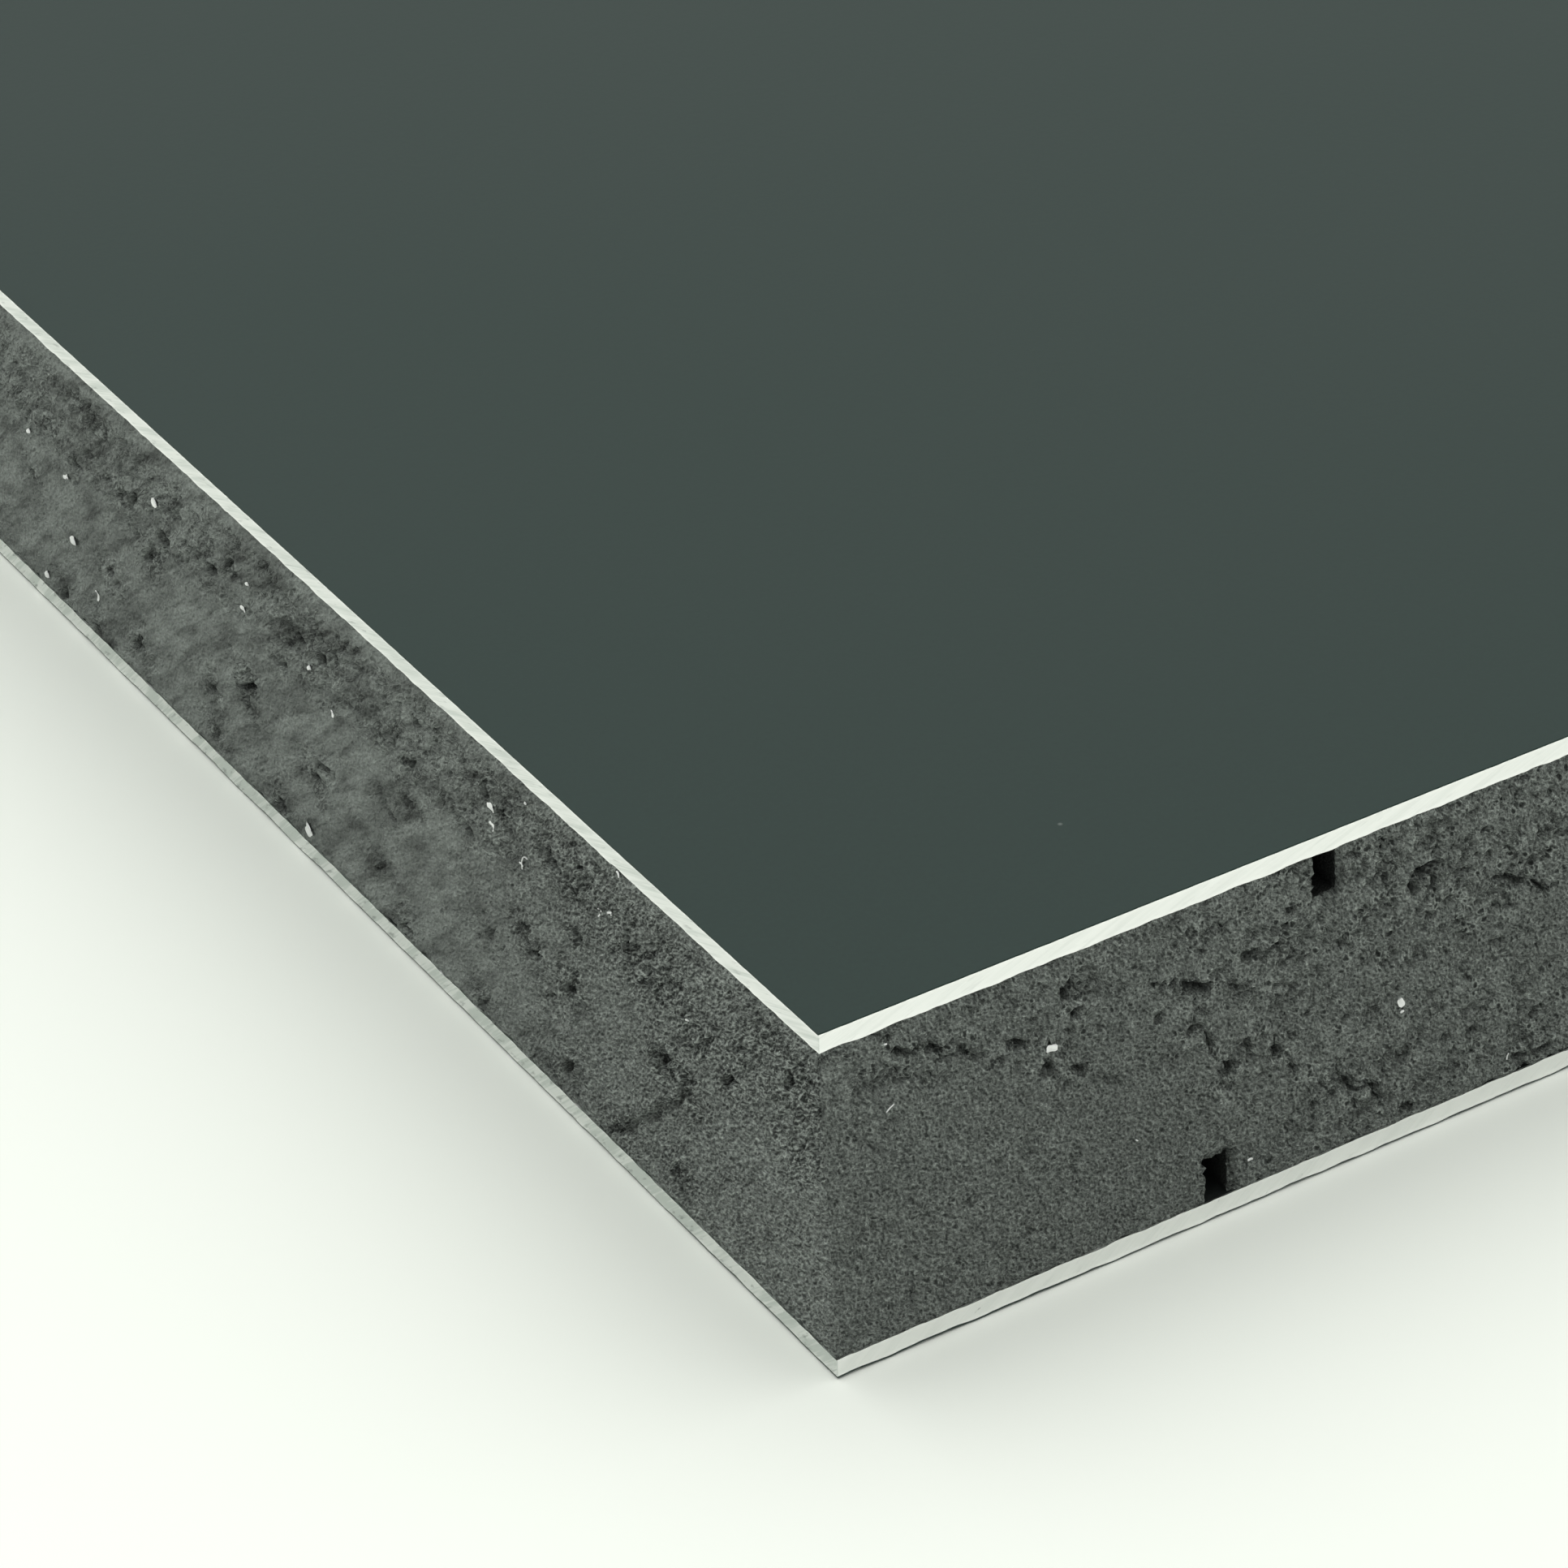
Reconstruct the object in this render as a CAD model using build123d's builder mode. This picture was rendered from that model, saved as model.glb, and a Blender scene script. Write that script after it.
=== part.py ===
from build123d import *

import os

# Insulated infill panel: two coated aluminium sheets bonded to the two faces of a grooved foam core.
#
# The panel lies flat on its inner sheet. The origin is at the middle of the underside, +X runs across
# the panel's width, +Y along its length and +Z up through its thickness. Its four edges are sawn
# square through sheet, foam and sheet, so the three pieces end flush and their corners are sharp.
#
# The core is a board of extruded foam. Narrow vent grooves run the whole length of both of its faces
# and come out in the two end edges. They let air and spare glue out while the sheets are pressed on.

# Panel, in millimetres
panel_length = 600.0
panel_width = 400.0
outer_gauge = 1.5
inner_gauge = 1.5
core_thickness = 25.0

# Vent grooves, in millimetres, each face's first one from the panel's left edge to the groove's middle
groove_width = 2.0
groove_depth = 3.5
groove_bottom_radius = 0.4
groove_pitch = 50.0
first_outer_groove = 39.5
first_inner_groove = 30.5

# Levels, from the underside up
core_bottom = inner_gauge
core_top = core_bottom + core_thickness


def groove_middles(first_groove):
    """Lists where one face's grooves lie along X. A groove's width of foam is left at the right edge."""
    last_middle = panel_width - groove_width * 3 / 2
    count = int((last_middle - first_groove) // groove_pitch) + 1
    return [first_groove - panel_width / 2 + groove_pitch * number for number in range(count)]


# Inner sheet, on the underside
with BuildPart() as inner_sheet:
    with BuildSketch(Plane.XY):
        Rectangle(panel_width, panel_length)
    extrude(amount=inner_gauge)
inner_sheet.part.label = "inner_sheet"

# Foam core: its section with the grooves of both faces, carried along the panel's length
with BuildPart() as foam_core:
    with BuildSketch(Plane.XZ) as core_section:
        with Locations((0, core_bottom)):
            Rectangle(panel_width, core_thickness, align=(Align.CENTER, Align.MIN))
        with Locations([(middle, core_top) for middle in groove_middles(first_outer_groove)]):
            Rectangle(groove_width, groove_depth, align=(Align.CENTER, Align.MAX), mode=Mode.SUBTRACT)
        with Locations([(middle, core_bottom) for middle in groove_middles(first_inner_groove)]):
            Rectangle(groove_width, groove_depth, align=(Align.CENTER, Align.MIN), mode=Mode.SUBTRACT)
        # The corners between the core's two faces are the bottom corners of the grooves
        groove_bottoms = core_section.vertices().filter_by(lambda corner: core_bottom < corner.Y < core_top)
        fillet(groove_bottoms, min(groove_bottom_radius, groove_width * 0.49))
    extrude(amount=panel_length / 2, both=True)
foam_core.part.label = "foam_core"

# Outer sheet, on top
with BuildPart() as outer_sheet:
    with BuildSketch(Plane.XY.offset(core_top)):
        Rectangle(panel_width, panel_length)
    extrude(amount=outer_gauge)
outer_sheet.part.label = "outer_sheet"

os.makedirs("parts", exist_ok=True)
export_step(inner_sheet.part, "parts/inner_sheet.step")
export_step(foam_core.part, "parts/foam_core.step")
export_step(outer_sheet.part, "parts/outer_sheet.step")
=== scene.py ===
import logging
import math
from dataclasses import dataclass, field
from enum import Enum, IntEnum
from functools import reduce

import bpy
import numpy as np
from mathutils import Matrix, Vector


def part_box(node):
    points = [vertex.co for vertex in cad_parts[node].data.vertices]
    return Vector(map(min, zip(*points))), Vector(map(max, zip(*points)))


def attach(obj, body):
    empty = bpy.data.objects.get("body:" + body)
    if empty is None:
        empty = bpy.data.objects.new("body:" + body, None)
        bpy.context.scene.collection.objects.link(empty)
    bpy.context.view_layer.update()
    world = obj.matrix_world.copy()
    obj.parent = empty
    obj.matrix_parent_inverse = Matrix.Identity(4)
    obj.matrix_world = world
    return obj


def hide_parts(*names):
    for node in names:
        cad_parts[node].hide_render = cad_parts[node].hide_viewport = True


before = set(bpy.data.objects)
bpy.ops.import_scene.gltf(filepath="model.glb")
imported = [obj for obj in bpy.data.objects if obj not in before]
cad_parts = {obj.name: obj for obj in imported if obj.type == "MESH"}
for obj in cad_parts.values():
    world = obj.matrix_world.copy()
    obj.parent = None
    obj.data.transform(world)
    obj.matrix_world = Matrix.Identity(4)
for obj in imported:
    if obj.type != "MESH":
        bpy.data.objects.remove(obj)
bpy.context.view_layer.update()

# Insulated infill panel: coated aluminium sheets on a grey foam core, sawn square at its four edges.
#
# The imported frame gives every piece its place. The sawn edges are surfaces over two parameters: how far
# round the panel a point lies, from the corner that faces the camera, and how high it is. All shapes are
# worked out in millimetres and become metres when a mesh is made.

Array = np.ndarray
Places = dict[str, Array]
Socket = bpy.types.NodeSocket
Triple = tuple[float, float, float]

LOG = logging.getLogger("infill_panel")
METRE = 0.001  # one millimetre in metres
TOUCH = 0.01  # millimetres within which two places are the same
BODY = "root"
BAKE_MAP = "OFBake"
SAW_MAP = "SawMarks"
FELT_MAP = "Felt"
# torn also sets the painted shade of the foam's pits, cracks, worn mouths and grooves
TORN_PIT_SHADE, ROUGH, COMBED, RUBBED, PROUD = "torn", "rough", "combed", "rubbed", "proud"
# dull is partly duller metal and partly painted shade; rim is where the metal's rims get a painted highlight
DULL_AND_SHADE, RIM_HIGHLIGHT = "dull_and_shade", "rim"


class Draw(IntEnum):
    """Which random draw a pattern takes, added to its side's seed so that no two patterns are alike."""

    BEND = 1
    CURL = 3
    PATCHES = 10
    SAW_PATCHES = 11
    BAND = 12
    NAP = 20
    CRUMB_GAPS = 25
    CRUMBS = 27
    SAW_WAVES = 30
    PITS = 40
    CRACK_GATE = 46
    RIM_WEAR = 50
    WOUND_EDGE = 60
    MOUTHS = 70
    CHIPS = 77
    GROOVE_WALLS = 900


# Noise and curves, worked out for whole arrays at once


def scatter(column: Array, row: Array, seed: int) -> Array:
    """Gives each whole-numbered place of a lattice its own value from 0 to 1.

    Formula: the two numbers and the seed are each multiplied by a large odd number and added, the bits are
    mixed twice by a shift, an exclusive or and another multiplication, and the low 24 bits are the value.

    Args:
        column: Whole numbers across the lattice.
        row: Whole numbers up the lattice.
        seed: Which of the many scatters to use.

    Returns:
        One value for each place.
    """
    odd_numbers = (374761393, 668265263, 1442695041, 1274126177)
    first_shift, second_shift = 13, 16
    word, value_bits = 0xFFFFFFFF, 24
    mixed = column.astype(np.int64) * odd_numbers[0] + row.astype(np.int64) * odd_numbers[1]
    mixed = (mixed + seed * odd_numbers[2]) & word
    mixed = ((mixed ^ (mixed >> first_shift)) * odd_numbers[3]) & word
    mixed = (mixed ^ (mixed >> second_shift)) & ((1 << value_bits) - 1)
    return mixed / float(1 << value_bits)


def ease(share: Array) -> Array:
    """Formula: 3t^2 - 2t^3, with t held between 0 and 1, so the ends are level."""
    held = np.clip(share, 0.0, 1.0)
    return held * held * (3.0 - 2.0 * held)


def rise(value: Array, start: float, width: float) -> Array:
    """Rises from 0 at the start to 1 past the width. Formula: the eased share of the width that is passed."""
    return ease((value - start) / width)


def bell(distance: Array, width: float) -> Array:
    """A bell curve: 1 at no distance. Formula: e to the power of minus (distance / width) squared."""
    return np.exp(-((distance / width) ** 2))


def ripple(across: Array, up: Array, seed: int) -> Array:
    """Smooth noise from about -1 to 1, with one rise and fall in each unit.

    Formula: each lattice corner has a slope in a random direction. A point's value is the blend of the
    four slopes' heights there, weighted by the eased place of the point in its cell.

    Args:
        across: Places across, in units of the noise.
        up: Places up, of a shape that broadcasts with across.
        seed: Which noise to use.

    Returns:
        The noise at each place.
    """
    full_height = 1.5  # brings the steepest cells to about 1
    across, up = np.broadcast_arrays(across, up)
    column, row = np.floor(across), np.floor(up)
    part_across, part_up = across - column, up - row

    def corner(right: int, above: int) -> Array:
        """The height of one corner's slope at each point."""
        turn = scatter(column + right, row + above, seed) * math.tau
        return np.cos(turn) * (part_across - right) + np.sin(turn) * (part_up - above)

    weight_across, weight_up = ease(part_across), ease(part_up)
    below = corner(0, 0) + weight_across * (corner(1, 0) - corner(0, 0))
    above = corner(0, 1) + weight_across * (corner(1, 1) - corner(0, 1))
    return full_height * (below + weight_up * (above - below))


def ripples(across: Array, up: Array, seed: int, layers: int) -> Array:
    """Adds ripples, each twice as fine and half as high as the last, scaled to about -1 to 1."""
    total = sum(ripple(across * 2**n, up * 2**n, seed + n) / 2**n for n in range(layers))
    return total / (2.0 - 0.5 ** (layers - 1))


def wavering(along: Array, seed: int, layers: int) -> Array:
    """Ripples of one parameter, such as the place along an edge."""
    return ripples(along, along * 0.0, seed, layers)


def crumb_gaps(across: Array, up: Array, seed: int) -> Array:
    """How far places lie from the gaps between random crumbs: 0 in a gap, about 1 in a crumb's middle.

    Formula: each lattice cell holds one point at a random place in it. The value is the distance to
    the second nearest point less that to the nearest.

    Args:
        across: Places across, in units of the crumbs.
        up: Places up.
        seed: Which crumbs to use.

    Returns:
        The difference of the two distances.
    """
    across, up = np.broadcast_arrays(across, up)
    column, row = np.floor(across), np.floor(up)
    away = []
    for right in (-1, 0, 1):
        for above in (-1, 0, 1):
            point_across = column + right + scatter(column + right, row + above, seed)
            point_up = row + above + scatter(column + right, row + above, seed + 1)
            away.append(np.hypot(point_across - across, point_up - up))
    nearest = np.sort(np.stack(away), axis=0)
    return nearest[1] - nearest[0]


# The saw's marks and the panel's four sawn sides


class Lean(Enum):
    """Which way the saw's marks run on a side, seen from outside."""

    RISING = 1.0
    FALLING = -1.0


@dataclass(frozen=True)
class Blade:
    """The circular blade that cut the panel, which leaves arcs on every sawn side."""

    radius: float = 150.0
    centre_level: float = -109.0
    mean_slant: float = 0.57  # sine of the arcs' mean angle above level

    def arcs(self, along: Array, level: Array, lean: Lean) -> tuple[Array, Array]:
        """Finds which arc passes through a point, and how far along that arc the point lies.

        Formula: an arc of the blade's radius meets a side at a place that moves by the square root of
        radius^2 - rise^2, where rise is the height above the blade's centre. The way along the arc is the
        radius times the arc sine of rise / radius.

        Args:
            along: Places along the side.
            level: Heights, of a shape that broadcasts with along.
            lean: Which way the arcs lean.

        Returns:
            The distance across the arcs, and the way along them.
        """
        height = level - self.centre_level
        across = (along + lean.value * np.sqrt(self.radius**2 - height**2)) * self.mean_slant
        return across, self.radius * np.arcsin(height / self.radius) + 0.0 * along


@dataclass(frozen=True)
class Raking:
    """How the blade combed the foam: the crumbs' slant in degrees, and how long they are for their width."""

    slant: float
    drag: float
    raked: float  # how clearly it shows in the finish, from 0 to 1


RAKINGS = {Lean.RISING: Raking(37.0, 2.3, 1.0), Lean.FALLING: Raking(53.0, 1.35, 0.2)}


@dataclass(frozen=True)
class Side:
    """One sawn side, walked counter-clockwise round the panel as seen from above."""

    name: str
    start: tuple[float, float]
    run: tuple[float, float]
    length: float
    lean: Lean
    seed: int
    rubbed_from: float = 16.0
    rubbed_over: float = 44.0

    def combed(self, along: Array, level: Array) -> tuple[Array, Array]:
        """Finds the place across and along the way that the crumbs lie, which is straight and slants.

        Formula: the place is turned by the slant. The way along is divided by the drag, so that a round
        figure in the result is a long crumb on the side.

        Args:
            along: Places along the side.
            level: Heights, of a shape that broadcasts with along.

        Returns:
            The place across the crumbs, and the shortened way along them.
        """
        raking = RAKINGS[self.lean]
        slant = math.radians(raking.slant) * self.lean.value
        across = math.cos(slant) * level - math.sin(slant) * along
        return across, (math.cos(slant) * along + math.sin(slant) * level) / raking.drag

    @property
    def outward(self) -> tuple[float, float]:
        """The direction that the side faces: its run, turned a quarter to the right."""
        return self.run[1], -self.run[0]

    def from_corner(self, along: Array) -> Array:
        """How far places lie from the corner that faces the camera, where the walk starts and ends."""
        return {"near": along, "left": self.length - along}.get(self.name, along + self.length)

    def rubbed(self, along: Array) -> Array:
        """How smooth the blade rubbed the foam, from 0 to 1: more and more along the long sides only."""
        return rise(self.from_corner(along), self.rubbed_from, self.rubbed_over) * (self.lean is Lean.RISING)

    def at(self, away: float) -> float:
        """Where a place lies along the walk, from how far it is from the corner that faces the camera."""
        return away if self.name == "near" else self.length - away

    def walls(self, left: float, right: float) -> list[float]:
        """Where two places of the panel's width lie along the side, the nearer first."""
        return sorted(abs((x - self.start[0]) * self.run[0]) for x in (left, right))

    def place(self, along: Array, proud: Array, level: Array, corner: tuple[float, float]) -> Array:
        """Places points on the side.

        Formula: a point is the side's start, plus its run times the place along, plus its outward direction
        times the height above the side. At the side's first station, which is a corner of the panel, the
        relief moves the point out of both sides.

        Args:
            along: Places along the side, stations by rows.
            proud: How far each point stands out of the side.
            level: The points' heights.
            corner: The direction that the side before this one faces.

        Returns:
            The points, stations by rows by x, y, z.
        """
        out = np.tile(self.outward, (proud.shape[0], 1))
        out[0] += corner
        x = self.start[0] + self.run[0] * along + out[:, :1] * proud
        y = self.start[1] + self.run[1] * along + out[:, 1:] * proud
        return np.stack(np.broadcast_arrays(x, y, level), axis=-1)


@dataclass(frozen=True)
class Grading:
    """How closely stations stand along a side: finely where the camera looks closely, then wider."""

    fine: float
    shown: dict[str, float] = field(default_factory=lambda: {"near": 63.0, "left": 126.0})
    coarse: float = 9.0
    growth: float = 0.2
    loosening: float = 0.0008
    samples: int = 400

    def spacing(self, side: Side, along: Array) -> Array:
        """Formula: fine, plus a small share of the way, plus a larger share of the way past what shows."""
        way = side.from_corner(along)
        past = np.maximum(way - self.shown.get(side.name, 0.0), 0.0)
        return np.minimum(self.fine + self.loosening * way + self.growth * past, self.coarse)

    def stations(self, side: Side, keys: Array, fixed: dict[float, int]) -> Array:
        """Places stations along a side so that each key is one of them.

        Formula: between two keys the stations are spread evenly over the running total of
        1 / spacing.

        Args:
            side: The side to cut up.
            keys: Places that must be stations, from the start to the end of the side.
            fixed: How many stations follow a key, for the stretches that have a fixed number.

        Returns:
            All the stations in order.
        """
        places = []
        for low, high in zip(keys[:-1], keys[1:]):
            way = np.linspace(low, high, self.samples)
            density = 1.0 / self.spacing(side, way)
            total = np.concatenate([[0.0], np.cumsum((density[1:] + density[:-1]) / 2 * np.diff(way))])
            count = fixed.get(float(low), max(1, round(total[-1])))
            places.append(np.interp(np.linspace(0.0, total[-1], count + 1)[:-1], total, way))
        return np.concatenate([*places, keys[-1:]])


def walk_sides(low: Array, high: Array) -> list[Side]:
    """Lists the panel's four sides, from the corner that faces the camera.

    Args:
        low: The panel's lowest corner.
        high: Its highest corner.

    Returns:
        The near, right, far and left side.
    """
    wide, long = high[0] - low[0], high[1] - low[1]
    return [
        Side("near", (low[0], low[1]), (1.0, 0.0), wide, Lean.FALLING, 100),
        Side("right", (high[0], low[1]), (0.0, 1.0), long, Lean.RISING, 200),
        Side("far", (high[0], high[1]), (-1.0, 0.0), wide, Lean.FALLING, 300),
        Side("left", (low[0], high[1]), (0.0, -1.0), long, Lean.RISING, 400),
    ]


def box_of(node: str) -> tuple[Array, Array]:
    """The lowest and highest corner of a node of the frame, in millimetres."""
    low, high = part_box(node)
    return np.array(low) / METRE, np.array(high) / METRE


# Meshes


class Shell:
    """Collects the points and faces of one closed mesh, in millimetres."""

    def __init__(self) -> None:
        """Starts with no points and no faces."""
        self.places: list[Array] = []
        self.count = 0
        self.corners: list[Array] = []
        self.sizes: list[Array] = []
        self.finishes: list[Array] = []
        self.level_faces: list[Array] = []
        self.maps: dict[str, list[Array]] = {}
        self.values: dict[str, list[Array]] = {}

    def points(self, places: Array, **values: Array | float) -> Array:
        """Adds points.

        Args:
            places: The points, as an array whose last axis is x, y, z.
            **values: What the materials read at each point, from 0 to 1. A mesh's points all have the same
                names.

        Returns:
            The points' numbers, in the shape of the array without its last axis.
        """
        numbers = self.count + np.arange(places[..., 0].size).reshape(places.shape[:-1])
        self.places.append(places.reshape(-1, 3))
        for name, value in values.items():
            self.values.setdefault(name, []).append(np.broadcast_to(value, places.shape[:-1]).ravel())
        self.count += numbers.size
        return numbers

    def grid(self, numbers: Array, maps: Places, finish: Array | int = 0, keep: Array | None = None) -> None:
        """Adds a face between each four neighbours of a grid.

        Args:
            numbers: The points' numbers, over two parameters. Faces look to the viewer where the first
                parameter runs right and the second up.
            maps: For each map, the places of each face's corners on it. All of a mesh's grids have the same
                maps, and come before its plates.
            finish: The number of each face's material.
            keep: Which faces to add, or None for all of them.
        """
        cells = around_cells(numbers)
        chosen = np.ones(cells.shape[:2], bool) if keep is None else keep
        total = int(chosen.sum())
        self.corners.append(cells[chosen].ravel())
        self.sizes.append(np.full(total, cells.shape[2]))
        self.finishes.append(np.broadcast_to(finish, chosen.shape)[chosen].astype(int))
        self.level_faces.append(np.zeros(total, bool))
        for name, spots in maps.items():
            self.maps.setdefault(name, []).append(spots[chosen].reshape(-1, 2))

    def plate(self, rim: Array, flat: Array, finish: int = 0) -> None:
        """Adds one level face inside a rim of points, which run counter-clockwise round it.

        Args:
            rim: The rim's point numbers.
            flat: Their places on the bake map.
            finish: The number of the face's material.
        """
        self.corners.append(rim)
        self.sizes.append(np.array([rim.size]))
        self.finishes.append(np.array([finish]))
        self.level_faces.append(np.ones(1, bool))
        for name, parts in self.maps.items():
            parts.append(flat if name == BAKE_MAP else np.zeros((rim.size, 2)))

    def make(self, name: str, materials: list[bpy.types.Material], crease: float) -> bpy.types.Object:
        """Makes the mesh and its object, in metres, from the points that have a face.

        Args:
            name: The piece's name.
            materials: The materials, in the order of the faces' finish numbers.
            crease: The angle in degrees past which an edge stays sharp.

        Returns:
            The finished object.
        """
        mesh = bpy.data.meshes.new(name)
        used, corners = np.unique(np.concatenate(self.corners), return_inverse=True)
        sizes = np.concatenate(self.sizes)
        places = np.concatenate(self.places)[used] * METRE
        mesh.vertices.add(used.size)
        mesh.vertices.foreach_set("co", places.astype(np.float32).ravel())
        mesh.loops.add(corners.size)
        mesh.loops.foreach_set("vertex_index", corners.astype(np.int32))
        mesh.polygons.add(sizes.size)
        mesh.polygons.foreach_set("loop_start", (np.cumsum(sizes) - sizes).astype(np.int32))
        mesh.polygons.foreach_set("material_index", np.concatenate(self.finishes).astype(np.int32))
        for map_name, parts in self.maps.items():
            layer = mesh.uv_layers.new(name=map_name)
            layer.uv.foreach_set("vector", np.concatenate(parts).astype(np.float32).ravel())
        for value_name, parts in self.values.items():
            layer = mesh.attributes.new(value_name, "FLOAT", "POINT")
            layer.data.foreach_set("value", np.concatenate(parts)[used].astype(np.float32))
        mesh.update(calc_edges=True)
        mesh.set_sharp_from_angle(angle=math.radians(crease))
        mesh.polygons.foreach_set("use_smooth", ~np.concatenate(self.level_faces))
        for material in materials:
            mesh.materials.append(material)
        piece = bpy.data.objects.new(name, mesh)
        bpy.context.scene.collection.objects.link(piece)
        return piece


def around_cells(grid: Array) -> Array:
    """Gives the values at the four corners of each cell of a grid, counter-clockwise from the lower left."""
    return np.stack([grid[:-1, :-1], grid[1:, :-1], grid[1:, 1:], grid[:-1, 1:]], axis=2)


@dataclass(frozen=True)
class BakeSheet:
    """How the sawn ring is laid out on a square map: strips one above the other, each as long as the map."""

    strip_height: float
    strip_length: float = 256.0
    gap: float = 1.0
    overhang: float = 6.0  # how far a face may reach past the end of its strip

    def spots(self, along: Array, up: Array) -> Array:
        """Lays out faces given by their corners.

        Formula: a face's strip is the whole part of its lowest place along, divided by the strip's
        length. The rest of the division runs across the map, and each strip starts one height higher.

        Args:
            along: For each face, its corners' places along the ring.
            up: Their heights above the ring's lower rim.

        Returns:
            The corners' places on the map, from 0 to 1.
        """
        strip = np.floor(along.min(axis=-1, keepdims=True) / self.strip_length)
        width = self.strip_length + 2 * self.gap + self.overhang
        across = (along - strip * self.strip_length + self.gap) / width
        return np.stack([across, (strip * (self.strip_height + self.gap) + up + self.gap) / width], axis=-1)


# Materials


def fill(tree: bpy.types.NodeTree, node: bpy.types.Node, inputs: dict) -> None:
    """Gives each named or numbered input of a node a value, or a link where the value is a socket."""
    for socket, value in inputs.items():
        if isinstance(value, Socket):
            tree.links.new(value, node.inputs[socket])
        else:
            node.inputs[socket].default_value = value


def add_node(tree: bpy.types.NodeTree, kind: str, inputs: dict, **settings: object) -> bpy.types.Node:
    """Adds a node.

    Args:
        tree: The node tree of a material or of the world.
        kind: The node's type, without its ShaderNode prefix.
        inputs: Its inputs by name or number.
        **settings: Its properties.

    Returns:
        The node.
    """
    node = tree.nodes.new("ShaderNode" + kind)
    for name, value in settings.items():
        setattr(node, name, value)
    fill(tree, node, inputs)
    return node


class Recipe:
    """A material under construction, with short calls for its nodes."""

    def __init__(self, name: str) -> None:
        """Makes the material and finds its Principled shader.

        Args:
            name: The material's name.
        """
        self.material = bpy.data.materials.new(name)
        self.material.use_nodes = True
        self.tree = self.material.node_tree
        self.shader = self.tree.nodes["Principled BSDF"]

    def set(self, **values: object) -> None:
        """Sets or links the shader's sockets, named with underscores for spaces."""
        fill(self.tree, self.shader, {name.replace("_", " "): value for name, value in values.items()})

    def add(self, kind: str, inputs: dict, **settings: object) -> bpy.types.Node:
        """Adds a node to the material, with its inputs and properties."""
        return add_node(self.tree, kind, inputs, **settings)

    def place(self) -> Socket:
        """The point's place on the object, in metres."""
        return self.add("TexCoord", {}).outputs["Object"]

    def value(self, name: str) -> Socket:
        """A named value of the mesh's points."""
        return self.add("Attribute", {}, attribute_name=name).outputs["Fac"]

    def felt_place(self) -> Socket:
        """The place across and along the foam's crumbs and out of the side, in millimetres."""
        flat = self.add("SeparateXYZ", {0: self.add("UVMap", {}, uv_map=FELT_MAP).outputs["UV"]}).outputs
        return self.add("CombineXYZ", {0: flat[0], 1: flat[1], 2: self.value(PROUD)}).outputs[0]

    def saw_place(self, across: float, along: float) -> Socket:
        """The place across and along the saw's marks, in units of the two given widths."""
        marks = self.add("UVMap", {}, uv_map=SAW_MAP).outputs["UV"]
        return self.stretched(marks, (1.0 / across, 1.0 / along, 1.0))

    def stretched(self, place: Socket, factors: Triple) -> Socket:
        """A place whose three numbers are each multiplied by a factor of their own."""
        return self.add("VectorMath", {0: place, 1: factors}, operation="MULTIPLY").outputs[0]

    def moved(self, place: Socket, step: Triple) -> Socket:
        """A place moved by a step."""
        return self.add("VectorMath", {0: place, 1: step}, operation="ADD").outputs[0]

    def noise(self, place: Socket, per_unit: float, detail: float = 2.0, rough: float = 0.5,
              bend: float = 0.0) -> Socket:
        """Noise from 0 to 1: its detail, its roughness, and how far it is bent by noise of its own."""
        inputs = {"Vector": place, "Scale": per_unit, "Detail": detail, "Roughness": rough}
        return self.add("TexNoise", inputs | {"Distortion": bend}).outputs["Fac"]

    def swing(self, place: Socket, per_unit: float, detail: float = 2.0, rough: float = 0.5,
              bend: float = 0.0) -> Socket:
        """Noise that swings round 0, by up to about a half each way."""
        return self.step("SUBTRACT", self.noise(place, per_unit, detail, rough, bend), 0.5)

    def scaled(self, colour: Socket, factor: Socket) -> Socket:
        """A colour made brighter or darker by a factor."""
        node = self.add("VectorMath", {0: colour}, operation="SCALE")
        fill(self.tree, node, {"Scale": factor})
        return node.outputs[0]

    def bent(self, place: Socket, per_unit: float, amount: float) -> Socket:
        """Moves a place by noise of its own, by up to about half the amount in each direction."""
        colour = self.add("TexNoise", {"Vector": place, "Scale": per_unit, "Detail": 1.0}).outputs["Color"]
        centred = self.moved(colour, (-0.5, -0.5, -0.5))
        inputs = {0: centred, 1: (amount, amount, amount), 2: place}
        return self.add("VectorMath", inputs, operation="MULTIPLY_ADD").outputs[0]

    def band(self, value: Socket, middle: float, width: float) -> Socket:
        """A thin line where a value passes a middle: 1 there, falling to 0 at the width."""
        away = self.step("ABSOLUTE", self.step("SUBTRACT", value, middle), 0.0)
        return self.between(away, width, 0.0)

    def dots(self, place: Socket, per_unit: float, size: float, soft: float) -> Socket:
        """Scattered dots: 1 inside, 0 outside, from the distance to the nearest of many random points."""
        cells = self.add("TexVoronoi", {"Vector": place, "Scale": per_unit})
        return self.between(cells.outputs["Distance"], size + soft, size)

    def between(self, value: Socket, low: float, high: float, out_low: float = 0.0,
                out_high: float = 1.0) -> Socket:
        """Maps a value from one range to another, held at both ends."""
        inputs = {0: value, 1: low, 2: high, 3: out_low, 4: out_high}
        return self.add("MapRange", inputs).outputs[0]

    def by(self, value: Socket, none: float, full: float) -> Socket:
        """An amount that goes from one number to another as a point's value goes from 0 to 1."""
        return self.between(value, 0.0, 1.0, none, full)

    def step(self, operation: str, first: Socket | float, second: Socket | float) -> Socket:
        """One step of arithmetic on sockets or numbers."""
        return self.add("Math", {0: first, 1: second}, operation=operation).outputs[0]

    def plus(self, *terms: Socket | float) -> Socket:
        """Adds sockets or numbers."""
        return reduce(lambda total, term: self.step("ADD", total, term), terms)

    def times(self, *factors: Socket | float) -> Socket:
        """Multiplies sockets or numbers."""
        return reduce(lambda total, factor: self.step("MULTIPLY", total, factor), factors)

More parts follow.
